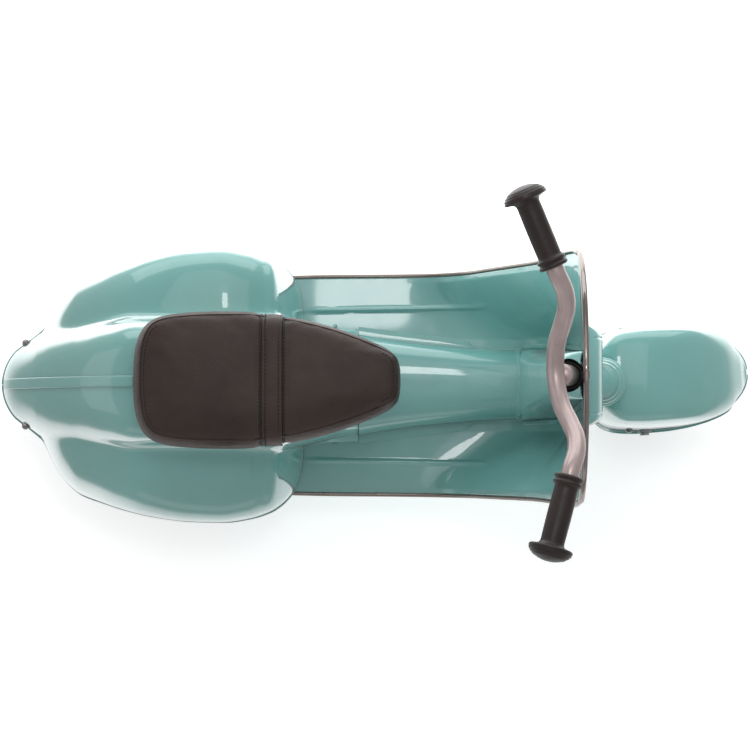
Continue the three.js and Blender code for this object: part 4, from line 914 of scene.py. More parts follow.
xc = float(shield_x(398)) + 1.2
clip_sec = np.array([(3.35 * math.cos(t), 2.95 * math.sin(t)) for t in np.linspace(0, 2 * math.pi, 26, endpoint=False)])
cp = np.array([[xc, y, 398.55] for y in (-3.4, -3.1, -1.6, 1.6, 3.1, 3.4)])
Vc = np.vstack([[p + np.array([a * k, 0, b * k]) for a, b in clip_sec] for p, k in zip(cp, (0.8, 1, 1, 1, 1, 0.8))])
Fc = grid_faces(6, 26, close_v=True) + [tuple(range(26)), tuple(5 * 26 + j for j in range(26))[::-1]]
piece("trim_clip", (Vc, orient(Vc, Fc)), CHROME, "chassis", ["trim_joint_clip"])


# ------------------------------------------------------------------ fasteners
def hexa(at, d, r, h, dome=True, washer=None):
    """Hexagon nut or bolt head with a chamfered crown; an acorn when dome is set."""
    d = np.asarray(d, float) / np.linalg.norm(d)
    parts = []
    if washer:
        parts.append(lathe(fillet([(0.0, 0), (washer, 0), (washer, 0.9), (0.0, 0.95)], 0.25, 2), at, d, 32))
    ref = np.array([0, 0, 1.0]) if abs(d[2]) < 0.9 else np.array([1.0, 0, 0])
    e1 = np.cross(d, ref); e1 /= np.linalg.norm(e1)
    e2 = np.cross(d, e1)
    base = np.asarray(at, float) + d * (0.9 if washer else 0)
    V, F = [], []
    n = 24
    rows = [(0.0, 1.0, 0), (0.12 * h, 1.0, 0), (0.45 * h, 1.0, 0), (0.55 * h, 0.97, 0.45), (0.6 * h, 0.86, 1.0)]
    for hh, k, rnd in rows:
        for j in range(n):
            t = j / n * 2 * math.pi
            q = (t + math.pi / 6) % (math.pi / 3) - math.pi / 6
            hexr = r * math.cos(math.pi / 6) / math.cos(q)
            rr = (hexr * (1 - rnd) + r * 0.88 * rnd) * k
            V.append(base + d * hh + rr * (math.cos(t) * e1 + math.sin(t) * e2))
    F = grid_faces(len(rows), n, close_v=True)
    F.append(tuple(range(n)))
    F.append(tuple((len(rows) - 1) * n + j for j in range(n))[::-1])
    parts.append((np.array(V), orient(np.array(V), F)))
    if dome:
        parts.append(lathe([(r * 0.72, 0)] + [(r * 0.72 * math.cos(t), h * 0.42 * math.sin(t)) for t in np.linspace(0.08, math.pi / 2 - 0.02, 9)] + [(0, h * 0.42)], base + d * 0.58 * h, d, 32))
    return merge(parts)


def pan_head(at, d, r):
    d = np.asarray(d, float) / np.linalg.norm(d)
    V, F = lathe([(r, 0)] + [(r * math.cos(t) ** 0.6, r * 0.55 * math.sin(t)) for t in np.linspace(0.05, 1.2, 8)] + [(r * 0.42, r * 0.55), (r * 0.40, r * 0.36), (0, r * 0.34)], at, d, 28)
    return V, F


for s, nm in ((1, "left"), (-1, "right")):
    n = np.array([-0.74, 0.66 * s, 0.12])
    n /= np.linalg.norm(n)
    piece("tail_bolt_head_" + nm, hexa(np.array([-355.4, 41.5 * s, 106]), n, 4.2, 4.4, True, 5.2), CHROME, "chassis", ["tail_bolt_" + nm])
    piece("axle_cap_rear_" + nm, hexa([-215, s * 107.4, 75], [0, s, 0], 7.5, 7.6, True, 8.8), CHROME, "chassis", ["rear_axle_nut_" + nm])
    piece("tunnel_screw_head_" + nm, pan_head([-40, s * 61.5, 82.6], [0, 0, 1], 2.0), PAINT, "chassis", ["tunnel_screw_" + nm])
    piece("nose_screw_head_" + nm, pan_head([float(shield_x(235)) + 19.1, s * 30.5, 235], [1, 0, 0], 3), STEEL, "chassis", ["nose_screw_" + nm])
    rp, rn = edge_line(s, 11.7, 11.9, -1.6)
    piece("trim_rivet_head_" + nm, pan_head(rp[0] + rn[0] * 2.2, rn[0], 2), STEEL, "chassis", ["trim_rivet_" + nm])


# ------------------------------------------------------------------ mudguard
def mud_w(x):
    x = np.asarray(x, float)
    f = np.clip(382.6 - x, 0, None)
    front = np.sqrt(np.maximum(0, 2 * 34 * f - f * f))
    r = np.clip(x - 212.3, 0, None)
    rear = np.sqrt(np.maximum(0, 2 * 66 * r - r * r)) * 1.08
    tab = pchip(MUD_W, x)
    w = tab + (front - tab) * smooth01(362, 372, x)
    return w + (rear - w) * (1 - smooth01(216, 226, x))


def mud_h(x):
    x = np.asarray(x, float)
    tab = pchip(MUD_TOP, x) - pchip(MUD_RIM, x)
    f = np.clip(382.6 - x, 0, None)
    tab = tab + (4.0 * np.sqrt(f) - tab) * smooth01(374, 380, x)
    r = np.clip(x - 212.3, 0, None)
    return tab + (24 * np.sqrt(r) - tab) * (1 - smooth01(212.3, 217, x))


def mudguard():
    deg = np.concatenate([np.linspace(0, 50, 14)[:-1], np.linspace(50, 130, 75), np.linspace(130, 180, 14)[1:]])
    xs = list(212.3 + 0.06 * np.arange(0, 13) ** 2) + list(np.arange(222, 360, 2.6)) + list(np.arange(361, 374, 1.2)) + list((382.5 - 0.05 * np.arange(0, 13) ** 2)[::-1])
    P = []
    for x in xs:
        z0, w, h, n = float(pchip(MUD_RIM, x)), max(0.05, float(mud_w(x)) - 0.2), max(0.05, float(mud_h(x))), float(pchip(MUD_N, x))
        t = np.radians(deg)
        c, s = np.abs(np.cos(t)), np.sin(t)
        r = ((c / w) ** n + (np.abs(s) / h) ** n) ** (-1 / n)
        y = r * np.cos(t)
        z = z0 + r * s - 6 * (y / 53) ** 2 * min(1, h / 60) * s
        rim = 1.7 * float(smooth01(212, 226, x))
        L = [(0, 0.25), (0.35, 0.0), (rim * 0.85, -0.25), (rim, 0.05), (rim * 0.9, 0.5)][::-1]
        k = 1.0 if x < 366 else max(0.3, (382.6 - x) / 16.6)
        lead = [[x + (rim * (1 - k) * a / 2.4 if x > 366 else 0) * 0, w + a * (0.4 + 0.6 * k), z0 + b] for a, b in L]
        tail = [[p[0], -p[1], p[2]] for p in lead][::-1]
        P.append(lead + [[x, a, b] for a, b in zip(y, z)] + tail)
    P = np.array(P)
    out = P - np.array([290, 0, 110])
    return sheet(P, 1.1, outward=out)


GUARD_SHIFT = np.array([0, 4.0, 0])
V, F = mudguard()
mud = piece("mudguard_pressing", (steer(V) + GUARD_SHIFT, F), PAINT, "steering", ["mudguard"], sharp=50)
cut(mud, obj("tmp_cut", *(lambda vf: (steer(vf[0]) + np.array([0, 0.0, 0]), vf[1]))(lathe([(10.2, 0), (10.2, 40)], on_axis(172), AX, 40)), 0))
# collar pressed in steps
prof_c = fillet([(10.0, -5.6), (20.5, -5.6), (24.0, -4.6), (24.0, -2.6), (21.6, -1.2), (21.6, 0.4), (19.0, 1.6), (18.6, 3.6), (15.0, 5.2), (10.0, 5.4), (10.0, -5.6)], 0.7, 4)
V, F = lathe(prof_c, on_axis(197.6), AX, 72)
piece("steering_collar", (steer(V), F), PAINT, "steering", ["mudguard_collar"])

for s, nm in ((1, "left"), (-1, "right")):
    V, F = merge([hexa([256, s * 50.6 - (2.6 if s > 0 else 0), 122], [0, s, 0], 3.7, 3.4, True, 4.6), lathe([(3, 0), (3, 6), (5.5, 6), (5.5, 27), (3, 27), (3, 33.5)], [256, s * 19.4, 122], [0, s, 0], 24)])
    piece("mudguard_bolt_head_" + nm, (steer(V) + GUARD_SHIFT, F), CHROME, "steering", ["mudguard_bolt_" + nm])
    V, F = hexa([278, s * 51.4, 75], [0, s, 0], 5.8, 4.8, True, 7)
    piece("axle_cap_front_" + nm, (steer(V) + GUARD_SHIFT, F), CHROME, "steering", ["front_axle_nut_" + nm])


# ------------------------------------------------------------------ stem, fork, handlebar
def boxloft(rows):
    """Rows of four corners, edges softened later by a bevel modifier."""
    V = np.array(rows, float).reshape(-1, 3)
    n = len(rows)
    F = grid_faces(n, 4, close_v=True) + [(0, 1, 2, 3), tuple((n - 1) * 4 + j for j in range(4))[::-1]]
    return V, orient(V, F)


stem_prof = [(9.5, 0), (9.5, 228 / math.cos(math.atan(RAKE)) * 0.985)]
stem_top = 404.0
Ls = (stem_top - 176) * math.hypot(1, RAKE)
dome = [(9.5 * math.cos(t), Ls + 4.6 * math.sin(t)) for t in np.linspace(0.0, math.pi / 2 - 0.03, 12)]
stem_vf = lathe([(0, 0), (9.5, 0), (9.5, Ls * 0.5), (9.5, Ls - 1.6), (9.15, Ls - 1.4), (9.15, Ls - 0.9), (9.5, Ls - 0.7)] + dome + [(0, Ls + 4.62)], on_axis(176), AX, 56)
V, F = stem_vf
stem = piece("stem_and_fork", (steer(V), F), SILVER, "steering", ["fork", "stem_cap"])
legs = []
for s in (1, -1):
    rows = []
    for x, z, w in ((246, 166, 13), (256, 138, 12), (266, 110, 11), (273, 92, 11), (278, 75, 11), (281, 62, 8)):
        rows.append([[x - w, s * 20.2, z - w * 0.25], [x + w, s * 20.2, z + w * 0.25], [x + w, s * 24, z + w * 0.25], [x - w, s * 24, z - w * 0.25]])
    legs.append(boxloft(rows))
rows = [[[232 - (z - 174) * 0.25 + dx, y, z] for y, z in ((-24, 160), (24, 160), (24, 171), (-24, 171))] for dx in (-6, 20)]
legs.append(boxloft(rows))
V, F = merge(legs)
crown = piece("fork_blades", (steer(V), F), SILVER, "steering", ())
bv = crown.modifiers.new("bevel", "BEVEL")
bv.width, bv.segments, bv.limit_method = 0.0012, 3, "ANGLE"

bar_half = [(156.5, 0, 414), (158.8, 26, 420), (164.8, 45, 431), (167.6, 57, 440.5), (166, 70, 450), (160, 84, 457.5), (157.5, 91.15, 458.35), (150, 112.6, 460.9), (135, 155.5, 466)]
full = [(x, -y, z) for x, y, z in bar_half[::-1][:-1]] + bar_half
bar_path = resample(spline(full, 14), step=3.0)
V, F = sweep(bar_path, circle(8, 32), up=(1, 0, 0))
bar = piece("handlebar_tube", (steer(V), F), SILVER, "steering", ["handlebar"])
# points round the stem where a weld fillet between bar and stem would meet the bar; no fillet is built from them
wp = []
c0 = np.array([156.5, 0, 414.0])
for t in np.linspace(0, 2 * math.pi, 40, endpoint=False):
    a = on_axis(402) + 9.6 * (math.cos(t) * np.array([0.961, 0, 0.2756]) + math.sin(t) * np.array([0, 1, 0]))
    # run up the stem until the bar's surface is met
    p = a.copy()
    for _ in range(60):
        if np.hypot(p[0] - (156.5 + 0.0035 * p[1] ** 2), p[2] - (414 + 0.009 * p[1] ** 2)) <= 8.3:
            break
        p = p + AX * 0.25 if (p - on_axis(402)) @ AX < 3 else p
    wp.append(p)
for s, nm in ((1, "left"), (-1, "right")):
    d = np.array([-25, 71.5 * s, 8.5])
    d /= np.linalg.norm(d)
    at = np.array([160, 84 * s, 457.5]) + d * 7
    prof_g = [(8.1, 0.0), (11.6, -0.2), (12.9, 0.8), (13.1, 2.0), (12.4, 3.1), (11.5, 3.9), (11.5, 4.7), (12.6, 5.6), (13.0, 6.8), (12.3, 8.1), (10.9, 9.2)]
    # long body with very slight belly
    for h in np.linspace(11, 58, 34):
        prof_g.append((10.45 + 0.25 * math.sin((h - 11) / 47 * math.pi), h))
    prof_g += [(10.8, 60), (12.0, 61.6), (15.0, 62.6), (18.4, 63.2), (19.4, 64.2), (19.5, 65.4), (18.9, 66.2), (19.1, 67.0), (18.6, 68.0), (17.6, 68.5), (17.5, 69.2), (16.9, 70.1),
               (15.4, 70.7), (15.2, 71.3), (14.0, 72.2), (12.4, 72.9), (9.0, 74.2), (5.0, 75.2), (0, 75.6)]
    V, F = lathe(prof_g, at, d, 64)
    piece("hand_grip_" + nm, (steer(V), F), GRIP, "steering", ["grip_" + nm], sharp=60)


# ------------------------------------------------------------------ wheels
def wheel(cx, cy, turn):
    c, d = np.array([cx, cy, 75.0]), np.array([0, 1.0, 0])
    f = (lambda v: steer(v)) if turn else (lambda v: v)
    h = 17.0
    tp = [(56.2, -h + 2.4), (57.2, -h + 0.9), (59.5, -h + 0.1), (62, -h), (64.5, -h + 0.5), (66, -h + 0.3), (67, -h + 1.0), (70.5, -h + 3.6), (72.6, -h + 6.6)]
    y = -h + 7.4
    while y < h - 7.4:
        r = 75 - 0.022 * y * y
        tp += [(r, y), (r + 0.02, y + 2.0), (r - 1.5, y + 2.35), (r - 1.5, y + 3.0)]
        y += 3.32
    tp += [(72.6, h - 6.6), (70.5, h - 3.6), (67, h - 1.0), (66, h - 0.3), (64.5, h - 0.5), (62, h), (59.5, h - 0.1), (57.2, h - 0.9), (56.2, h - 2.4), (56.2, -h + 2.4)]
    tyre = lathe([(min(r, 75), q) for r, q in tp], c, d, 96)
    dp = [(9.4, -15), (14.4, -15), (15.4, -14), (17, -9), (20, -5.6), (24, -4.7), (30, -4.9), (34, -6.4), (38, -6.4), (42, -4.9), (45.5, -5.2), (48.5, -9.5), (51, -12.6), (54.3, -14.6), (55.7, -14.4),
          (55.7, 14.4), (54.3, 14.6), (51, 12.6), (48.5, 9.5), (45.5, 5.2), (42, 4.9), (38, 6.4), (34, 6.4), (30, 4.9), (24, 4.7), (20, 5.6), (17, 9), (15.4, 14), (14.4, 15), (9.4, 15), (9.4, -15)]
    disc = lathe(dp, c, d, 72)
    bush = lathe(fillet([(5.45, -18.3), (11.6, -18.3), (11.6, -15.4), (8.9, -15.4), (8.9, 15.4), (11.6, 15.4), (11.6, 18.3), (5.45, 18.3), (5.45, -18.3)], 0.4, 2), c, d, 40)
    return [(f(v[0]), v[1]) for v in (tyre, disc, bush)]


for tag, cx, cy, turn, body in (("front", 278, 0, True, "front_wheel"), ("rear_left", -215, 88, False, "rear_wheel_left"), ("rear_right", -215, -88, False, "rear_wheel_right")):
    t, dd, b = wheel(cx, cy, turn)
    if tag == "front":
        names = ("front_tyre", "front_wheel_disc", "front_hub_bush")
    else:
        sd = tag.split("_")[1]
        names = ("rear_tyre_" + sd, "rear_wheel_disc_" + sd, "rear_hub_bush_" + sd)
    piece("tyre_" + tag, t, TYRE, body, [names[0]], sharp=32)
    piece("disc_" + tag, dd, SILVER, body, [names[1]], sharp=45)
    piece("bush_" + tag, b, NYLON, body, [names[2]])


# ------------------------------------------------------------------ seat
def outline(inset, n=160, table=SEAT_W):
    """Closed plan outline of the seat, even spacing."""
    xs = np.concatenate([-233.5 + 0.1 * np.arange(0, 14) ** 2, np.linspace(-215, 12, 60), (24.4 - 0.08 * np.arange(0, 12) ** 2)[::-1]])
    w = pchip(table, xs)
    pts = [[x, y, 0] for x, y in zip(xs, w)] + [[x, -y, 0] for x, y in zip(xs[::-1], w[::-1])]
    p = resample(np.vstack([pts, pts[:1]]), n=n + 1)[:-1]
    # soften the corners
    for _ in range(3):
        p = 0.5 * p + 0.25 * (np.roll(p, 1, 0) + np.roll(p, -1, 0))
    if inset:
        t = np.roll(p, -1, 0) - np.roll(p, 1, 0)
        t /= np.linalg.norm(t, axis=1, keepdims=True)
        nrm = np.stack([t[:, 1], -t[:, 0], np.zeros(len(t))], axis=1)
        if (nrm * (p - p.mean(0))).sum() < 0:
            nrm = -nrm
        p = p - nrm * inset
    return p


def seat_form():
    """Boxed cushion: flat base, drawn-in side band, seam, crowned top."""
    rings = []
    for inset, z in ((4.5, 233.8), (1.2, 233.9), (0.5, 236.5), (0.1, 242), (0.9, 249), (2.8, 256), (5.0, 261.5), (6.6, 264.8), (8.4, 266.3), (10.6, 267.0), (18, 268.3), (30, 269.5), (44, 270.1)):
        p = outline(0)
        c = np.array([p[:, 0].mean(), 0, 0])
        q = outline(inset) if inset < 12 else None
        if q is None:
            q0 = outline(10)
            k = (inset - 10) / 52
            mid = np.stack([np.clip(q0[:, 0], -190, -14), np.zeros(len(q0)), np.zeros(len(q0))], axis=1)
            q = q0 + (mid - q0) * k
        q = q + np.array([2.4, 1.9, 0]) * min(1, max(0, inset - 0.4) / 6.4) * (z > 238)
        q[:, 2] = z
        rings.append(q)
    n = len(rings[0])
    V = np.vstack(rings)
    F = grid_faces(len(rings), n, close_v=True)
    # top cap: fold to the middle line
    last = rings[-1]
    q0 = outline(10)
    for k, z in ((0.85, 270.3), (1.0, 270.4)):
        mid = np.stack([np.clip(q0[:, 0], -190, -14), np.zeros(n), np.zeros(n)], axis=1)
        q = q0 + (mid - q0) * k
        q[:, 2] = z
        if k == 1.0:
            q[:, 1] = np.sign(q0[:, 1]) * 0.4
        V = np.vstack([V, q])
    R = len(rings) + 2
    F = grid_faces(R, n, close_v=True)
    F.append(tuple(range(n)))
    F.append(tuple((R - 1) * n + j for j in range(n))[::-1])
    return V, orient(V, F)


def apply_mod(o, name):
    bpy.context.view_layer.objects.active = o
    for q in bpy.context.selected_objects:
        q.select_set(False)
    o.select_set(True)
    bpy.ops.object.modifier_apply(modifier=name)


def make_cushion():
    V, F = seat_form()
    o = obj("seat_cushion_soft", V, F, 0)
    m = o.modifiers.new("remesh", "REMESH")
    m.mode, m.voxel_size, m.use_smooth_shade = "VOXEL", 0.0042, True
    apply_mod(o, "remesh")
    rest = np.array([v.co[:] for v in o.data.vertices])
    # the base holds still
    z = rest[:, 2]
    vg = o.vertex_groups.new(name="held")
    for i, v in enumerate(rest):
        wgt = 0.0
        if z[i] < 0.2365:
            wgt = 1.0
        vg.add([i], wgt, "REPLACE")
    cm = o.modifiers.new("cloth", "CLOTH")
    st = cm.settings
    st.quality = 6
    st.mass = 0.3
    st.tension_stiffness = st.compression_stiffness = 22
    st.shear_stiffness = 12
    st.bending_stiffness = 1.2
    st.use_pressure = True
    st.uniform_pressure_force = 4.0
    st.vertex_group_mass = "held"
    st.effector_weights.gravity = 0
    cm.collision_settings.use_collision = False
    for f in range(1, 21):
        scene.frame_set(f)
    apply_mod(o, "cloth")
    scene.frame_set(1)
    now = np.array([v.co[:] for v in o.data.vertices])
    d = now - rest
    L = np.linalg.norm(d, axis=1, keepdims=True)
    cap = 0.0042
    d = d * np.minimum(1, cap / np.maximum(L, 1e-9))
    d[:, 2] = np.clip(d[:, 2], -0.001, 0.0032)
    P = rest + d
    x, y, z = P[:, 0] / MM, P[:, 1] / MM, P[:, 2] / MM
    top = smooth01(258, 266, z)
    # valley under the cross strap and dents beside its stitching
    v = np.exp(-((x + 99) / 12.0) ** 4) * 1.8 + 1.7 * np.exp(-((x + 110.7) / 2.0) ** 2) + 1.7 * np.exp(-((x + 87.3) / 2.0) ** 2)
    cxy = np.stack([np.zeros_like(x), np.where(np.abs(y) > 20, y, 0), np.where(z > 250, z - 235, 0)], axis=1)
    cn = np.linalg.norm(cxy, axis=1, keepdims=True)
    inward = cxy / np.maximum(cn, 1e-6)
    P = P - inward * (v * MM)[:, None] * np.where(z > 237, 1, 0)[:, None]
    # seam groove round the top panel and soft pull marks
    out = outline(7.2) + np.array([2.4, 1.9, 0])
    seam = np.full(len(P), 9e9)
    for q in out:
        seam = np.minimum(seam, np.hypot(x - q[0], y - q[1]))
    P[:, 2] -= 0.7 * MM * np.exp(-(seam / 1.7) ** 2) * top
    rng = np.random.default_rng(7)
    for k in range(26):
        a = out[rng.integers(0, len(out))]
        cdir = np.array([-95 - a[0], -a[1]])
        cdir /= np.linalg.norm(cdir)
        s = (x - a[0]) * cdir[0] + (y - a[1]) * cdir[1]
        t = (x - a[0]) * -cdir[1] + (y - a[1]) * cdir[0]
        P[:, 2] -= MM * 0.28 * np.exp(-(t / 2.6) ** 2) * smooth01(-2, 4, s) * (1 - smooth01(8, 22, s)) * top
    o.data.vertices.foreach_set("co", P.ravel())
    o.data.update()
    sm = o.modifiers.new("relax", "SMOOTH")
    sm.factor, sm.iterations = 0.5, 2
    apply_mod(o, "relax")
    ss = o.modifiers.new("sub", "SUBSURF")
    ss.levels = ss.render_levels = 1
    apply_mod(o, "sub")
    o.data.polygons.foreach_set("use_smooth", [True] * len(o.data.polygons))
    o.data.materials.append(VINYL)
    return o


cushion = make_cushion()
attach(cushion, "chassis")
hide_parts("seat_cushion")

deps = bpy.context.evaluated_depsgraph_get()
tree = BVHTree.FromObject(cushion, deps)


def hit(p, d):
    h = tree.ray_cast(Vector([c * MM for c in p]), Vector(d))
    if h[0] is None:
        return None, None
    return np.array(h[0]) / MM, np.array(h[1])


def wrap_line(x, lift, n=90, lo=-8.0, hi=188.0):
    """Line over the cushion in the plane x, from one side of the base to the other."""
    pts = []
    for a in np.radians(np.linspace(lo, hi, n)):
        d = np.array([0, math.cos(a), math.sin(a)])
        o = np.array([x, 0, 243.0]) + d * np.array([0, 130, 90])
        h, nn = hit(o, -np.array([0, math.cos(a) * 130, math.sin(a) * 90]) / np.linalg.norm([math.cos(a) * 130, math.sin(a) * 90]))
        if h is None:
            continue
        h[0] = x
        pts.append(h + np.array([0, nn[1], nn[2]]) * lift)
    p = np.array(pts)
    for _ in range(5):
        p[1:-1] = 0.5 * p[1:-1] + 0.25 * (p[2:] + p[:-2])
    return p


def strap_piece():
    rows = []
    offs = ((-9.7, 0.1), (-9.5, 0.9), (-8.6, 1.35), (-7.4, 1.25), (-6.6, 0.85), (-5.8, 1.3), (-3, 1.55), (0, 1.6), (3, 1.55), (5.8, 1.3), (6.6, 0.85), (7.4, 1.25), (8.6, 1.35), (9.5, 0.9), (9.7, 0.1))
    base = wrap_line(-99, 0.0)
    n = len(base)
    T = np.gradient(base, axis=0)
    T /= np.linalg.norm(T, axis=1, keepdims=True)
    N = np.cross(T, np.array([1.0, 0, 0]))
    if (N[:, 2].mean()) < 0:
        N = -N
    P = np.array([[base[i] + np.array([dx, 0, 0]) + N[i] * (l + 0.35) for dx, l in offs] for i in range(n)])
    return sheet(P, 0.9, outward=P - np.array([-99, 0, 235]))


strap_obj = piece("seat_cross_strap", strap_piece(), VINYL, "chassis", ["seat_strap"], sharp=60)
deps = bpy.context.evaluated_depsgraph_get()
strap_tree = BVHTree.FromObject(strap_obj, deps)


def stitch(path, normals=None, length=2.5, gap=1.1, r=0.5):
    """Small sunk capsules laid along a line."""
    p = resample(path, step=0.5)
    L = np.concatenate([[0], np.cumsum(np.linalg.norm(np.diff(p, axis=0), axis=1))])
    parts, s = [], gap
    while s + length < L[-1]:
        q = np.stack([np.interp(np.linspace(s, s + length, 6), L, p[:, k]) for k in range(3)], axis=1)
        sc = np.array([0.35, 0.9, 1, 1, 0.9, 0.35])
        parts.append(sweep(q, circle(r, 7), up=(0.31, 0.22, 0.9), scale=sc))
        s += length + gap
    return parts


st = []
for dx in (-6.6, 6.6):
    pts = []
    for p in wrap_line(-99 + dx, 0.0, 110, -2, 182):
        pts.append(p)
    pts = np.array(pts)
    # sit the thread in the strap's sewn groove
    T = np.gradient(pts, axis=0)
    T /= np.linalg.norm(T, axis=1, keepdims=True)
    N = np.cross(T, np.array([1.0, 0, 0]))
    if N[:, 2].mean() < 0:
        N = -N
    st += stitch(pts + N * 1.35)
for dx in (-12.0, 12.0):
    st += stitch(wrap_line(-99 + dx, 0.12, 110, 4, 176))
# line just inside the rear edge and front edge of the top panel
for inset, lo, hi in ((10.2, -400, -206), (10.2, 2, 400)):
    ring = outline(inset) + np.array([2.4, 1.9, 0])
    seg = [q for q in ring if lo < q[0] < hi]
    seg = sorted(seg, key=lambda q: q[1])
    line = []
    for q in seg:
        h, nn = hit([q[0], q[1], 300], (0, 0, -1))
        if h is not None and h[2] > 256:
            line.append(h + nn * 0.12)
    if len(line) > 6:
        st += stitch(np.array(line))
# the strap is bound at both edges with a thin dark cord lying in the dent of the cushion
for dx in (-10.5, 10.5):
    q = resample(wrap_line(-99 + dx, 0.25, 120, -6, 186), step=2.0)
    st.append(sweep(q, circle(0.75, 10), up=(1, 0, 0)))
piece("seat_stitching", merge(st), THREAD, "chassis", ())

# welt laid in the seam between side band and top panel
ring = outline(6.4, 220) + np.array([2.4, 1.9, 0])
welt = []
for q in ring:
    h, nn = hit([q[0], q[1], 300], (0, 0, -1))
    welt.append(h if h is not None and h[2] > 250 else None)
good = np.array([w for w in welt if w is not None])
if len(good) > 60:
    z = good[:, 2]
    for _ in range(12):
        z = 0.5 * z + 0.25 * (np.roll(z, 1) + np.roll(z, -1))
    good[:, 2] = z + 0.1
    piece("seat_seam_welt", sweep(good, circle(0.85, 10), closed=True), VINYL, "chassis", ())


# ------------------------------------------------------------------ carried-over CAD nodes
def dress(names, mat):
    for n in names:
        o = frame["nodes"][n]
        if not o.material_slots:
            o.data.materials.append(mat)
        for s in o.material_slots:
            s.material = mat


rings = []
for inset, z in ((6.0, 224.0), (4.2, 224.3), (3.6, 225.4), (3.4, 232.4), (3.9, 233.0)):
    q = outline(inset)
    q[:, 2] = z
    rings.append(q)
Vp = np.vstack(rings)
n = len(rings[0])
Fp = grid_faces(len(rings), n, close_v=True) + [tuple(range(n)), tuple((len(rings) - 1) * n + j for j in range(n))[::-1]]
piece("seat_base_pan", (Vp, orient(Vp, Fp)), BLACK, "chassis", ["seat_pan"], sharp=40)

dress(["chassis_frame", "head_tube", "rear_axle_bracket_left", "rear_axle_bracket_right"], BLACK)
dress(["head_bush_upper", "head_bush_lower"], NYLON)
dress(["rear_axle", "front_axle", "rear_axle_spacer_left", "rear_axle_spacer_right", "front_axle_spacer_left", "front_axle_spacer_right",
       "seat_bolt_front", "seat_bolt_rear", "floor_bolt_left", "floor_bolt_right"], STEEL)

# ------------------------------------------------------------------ floor, light, camera
fm = Mat("studio_floor")
fm.set(Roughness=0.85, Specular_IOR_Level=0.1)
sep = fm.node("ShaderNodeSeparateXYZ")
fm.link(fm.coord.outputs["Object"], sep.inputs[0])


def falloff(sock, a, b):
    n = fm.node("ShaderNodeMapRange", interpolation_type="SMOOTHSTEP")
    n.inputs["From Min"].default_value, n.inputs["From Max"].default_value = a, b
    fm.link(sock, n.inputs["Value"])
    return n.outputs["Result"]


# the sweep of the studio floor is brightest on the far and the tail side
mul = fm.node("ShaderNodeMath", operation="MULTIPLY")
fm.link(falloff(sep.outputs["Y"], -1.25, -0.42), mul.inputs[0])
mul2 = fm.node("ShaderNodeMath", operation="MULTIPLY")
fm.link(falloff(sep.outputs["X"], 1.1, 0.44), mul2.inputs[0])
fm.link(falloff(sep.outputs["X"], -1.1, -0.44), mul2.inputs[1])
fm.link(mul2.outputs[0], mul.inputs[1])
tone = fm.ramp(fm.noise(1.2, 2), [(0.3, (0.90, 0.90, 0.90)), (0.7, (0.93, 0.93, 0.93))])
fm.link(fm.mix(mul.outputs[0], (0.70, 0.68, 0.65, 1), tone), fm.b.inputs["Base Color"])
fm.b.inputs["Emission Color"].default_value = (1, 1, 1, 1)
gain = fm.node("ShaderNodeMath", operation="MULTIPLY")
bright = fm.node("ShaderNodeMath", operation="MULTIPLY_ADD")
bright.inputs[1].default_value, bright.inputs[2].default_value = 1.15, 0.5
fm.link(falloff(sep.outputs["Y"], -0.06, 0.30), bright.inputs[0])
fm.link(bright.outputs[0], gain.inputs[1])
fm.link(mul.outputs[0], gain.inputs[0])
fm.link(gain.outputs[0], fm.b.inputs["Emission Strength"])
fv = [(-9000, -9000, 0), (9000, -9000, 0), (9000, 9000, 0), (-9000, 9000, 0)]
floor = obj("studio_floor", fv, [(0, 1, 2, 3)], 0)
floor.location.z = -0.0004
floor.data.materials.append(fm.m)

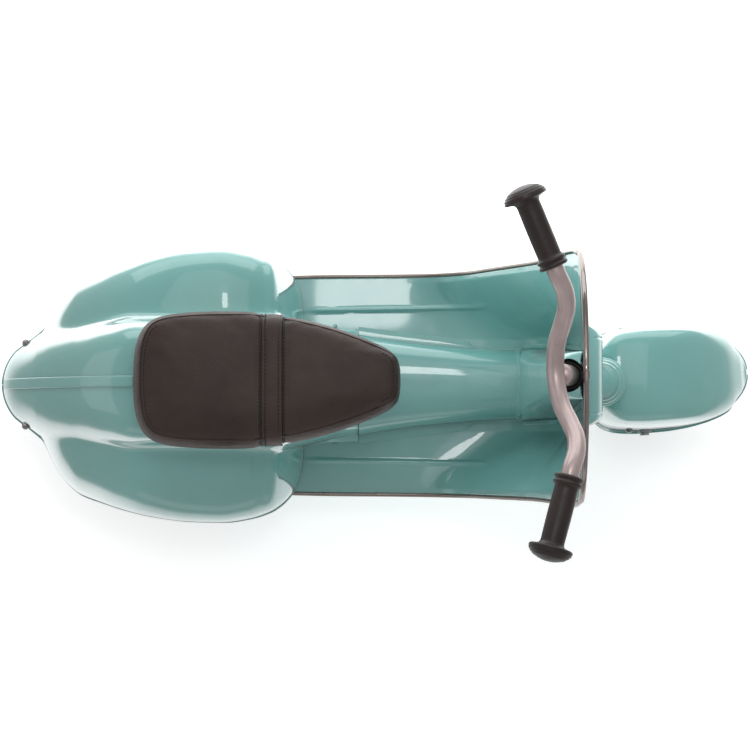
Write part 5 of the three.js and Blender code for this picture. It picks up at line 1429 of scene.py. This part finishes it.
world = bpy.data.worlds.new("studio")
world.use_nodes = True
scene.world = world
wt = world.node_tree
bg = wt.nodes["Background"]
bg.inputs["Color"].default_value = (0.93, 0.95, 0.96, 1)
bg.inputs["Strength"].default_value = 0.5
bg2 = wt.nodes.new("ShaderNodeBackground")
bg2.inputs["Color"].default_value = (1, 1, 1, 1)
bg2.inputs["Strength"].default_value = 1.0
lp = wt.nodes.new("ShaderNodeLightPath")
mx = wt.nodes.new("ShaderNodeMixShader")
wt.links.new(lp.outputs["Is Camera Ray"], mx.inputs[0])
wt.links.new(bg.outputs[0], mx.inputs[1])
wt.links.new(bg2.outputs[0], mx.inputs[2])
wt.links.new(mx.outputs[0], wt.nodes["World Output"].inputs["Surface"])


def area(name, at, aim, sx, sy, radiance, colour=(1, 1, 1)):
    l = bpy.data.lights.new(name, "AREA")
    l.shape, l.size, l.size_y = "RECTANGLE", sx, sy
    l.energy = radiance * math.pi * sx * sy
    l.color = colour
    o = bpy.data.objects.new(name, l)
    o.location = at
    o.rotation_euler = (Vector(aim) - Vector(at)).to_track_quat("-Z", "Y").to_euler()
    o.visible_camera = False
    scene.collection.objects.link(o)
    return o


# big soft sources low on three sides make the bright rims; one overhead panel lies beside the camera
area("side_far", (0.0, 2.6, 1.0), (0, 0, 0.1), 5.0, 1.7, 1.8, (0.97, 1.0, 1.0))
area("side_near", (0.0, -2.6, 0.9), (0, 0, 0.1), 4.6, 1.0, 0.45, (1.0, 0.95, 0.88))
area("tail_side", (-2.5, 0.1, 1.3), (0, 0, 0.1), 2.0, 0.9, 0.7)
area("overhead_soft", (0.3, 1.1, 3.4), (0, 0, 0.1), 3.0, 2.0, 0.6)
area("top_panel", (0.045, 0.27, 1.6), (0.045, 0.27, 0), 0.26, 0.25, 7.5)

cam = bpy.data.cameras.new("camera")
cam.sensor_width, cam.lens = 36.0, 102.8
cam.clip_end = 60
camo = bpy.data.objects.new("camera", cam)
camo.location = (-0.0247, -0.067, 2.300)
aim = Vector((0.0021, 0.0135, 0.0))
fwd = (aim - Vector(camo.location)).normalized()
right = fwd.cross(Vector((0, 1, 0))).normalized()
upv = right.cross(fwd).normalized()
from mathutils import Matrix
camo.rotation_euler = Matrix((right, upv, -fwd)).transposed().to_euler()
scene.collection.objects.link(camo)
scene.camera = camo
scene.view_settings.view_transform = "Standard"
scene.view_settings.look = "None"
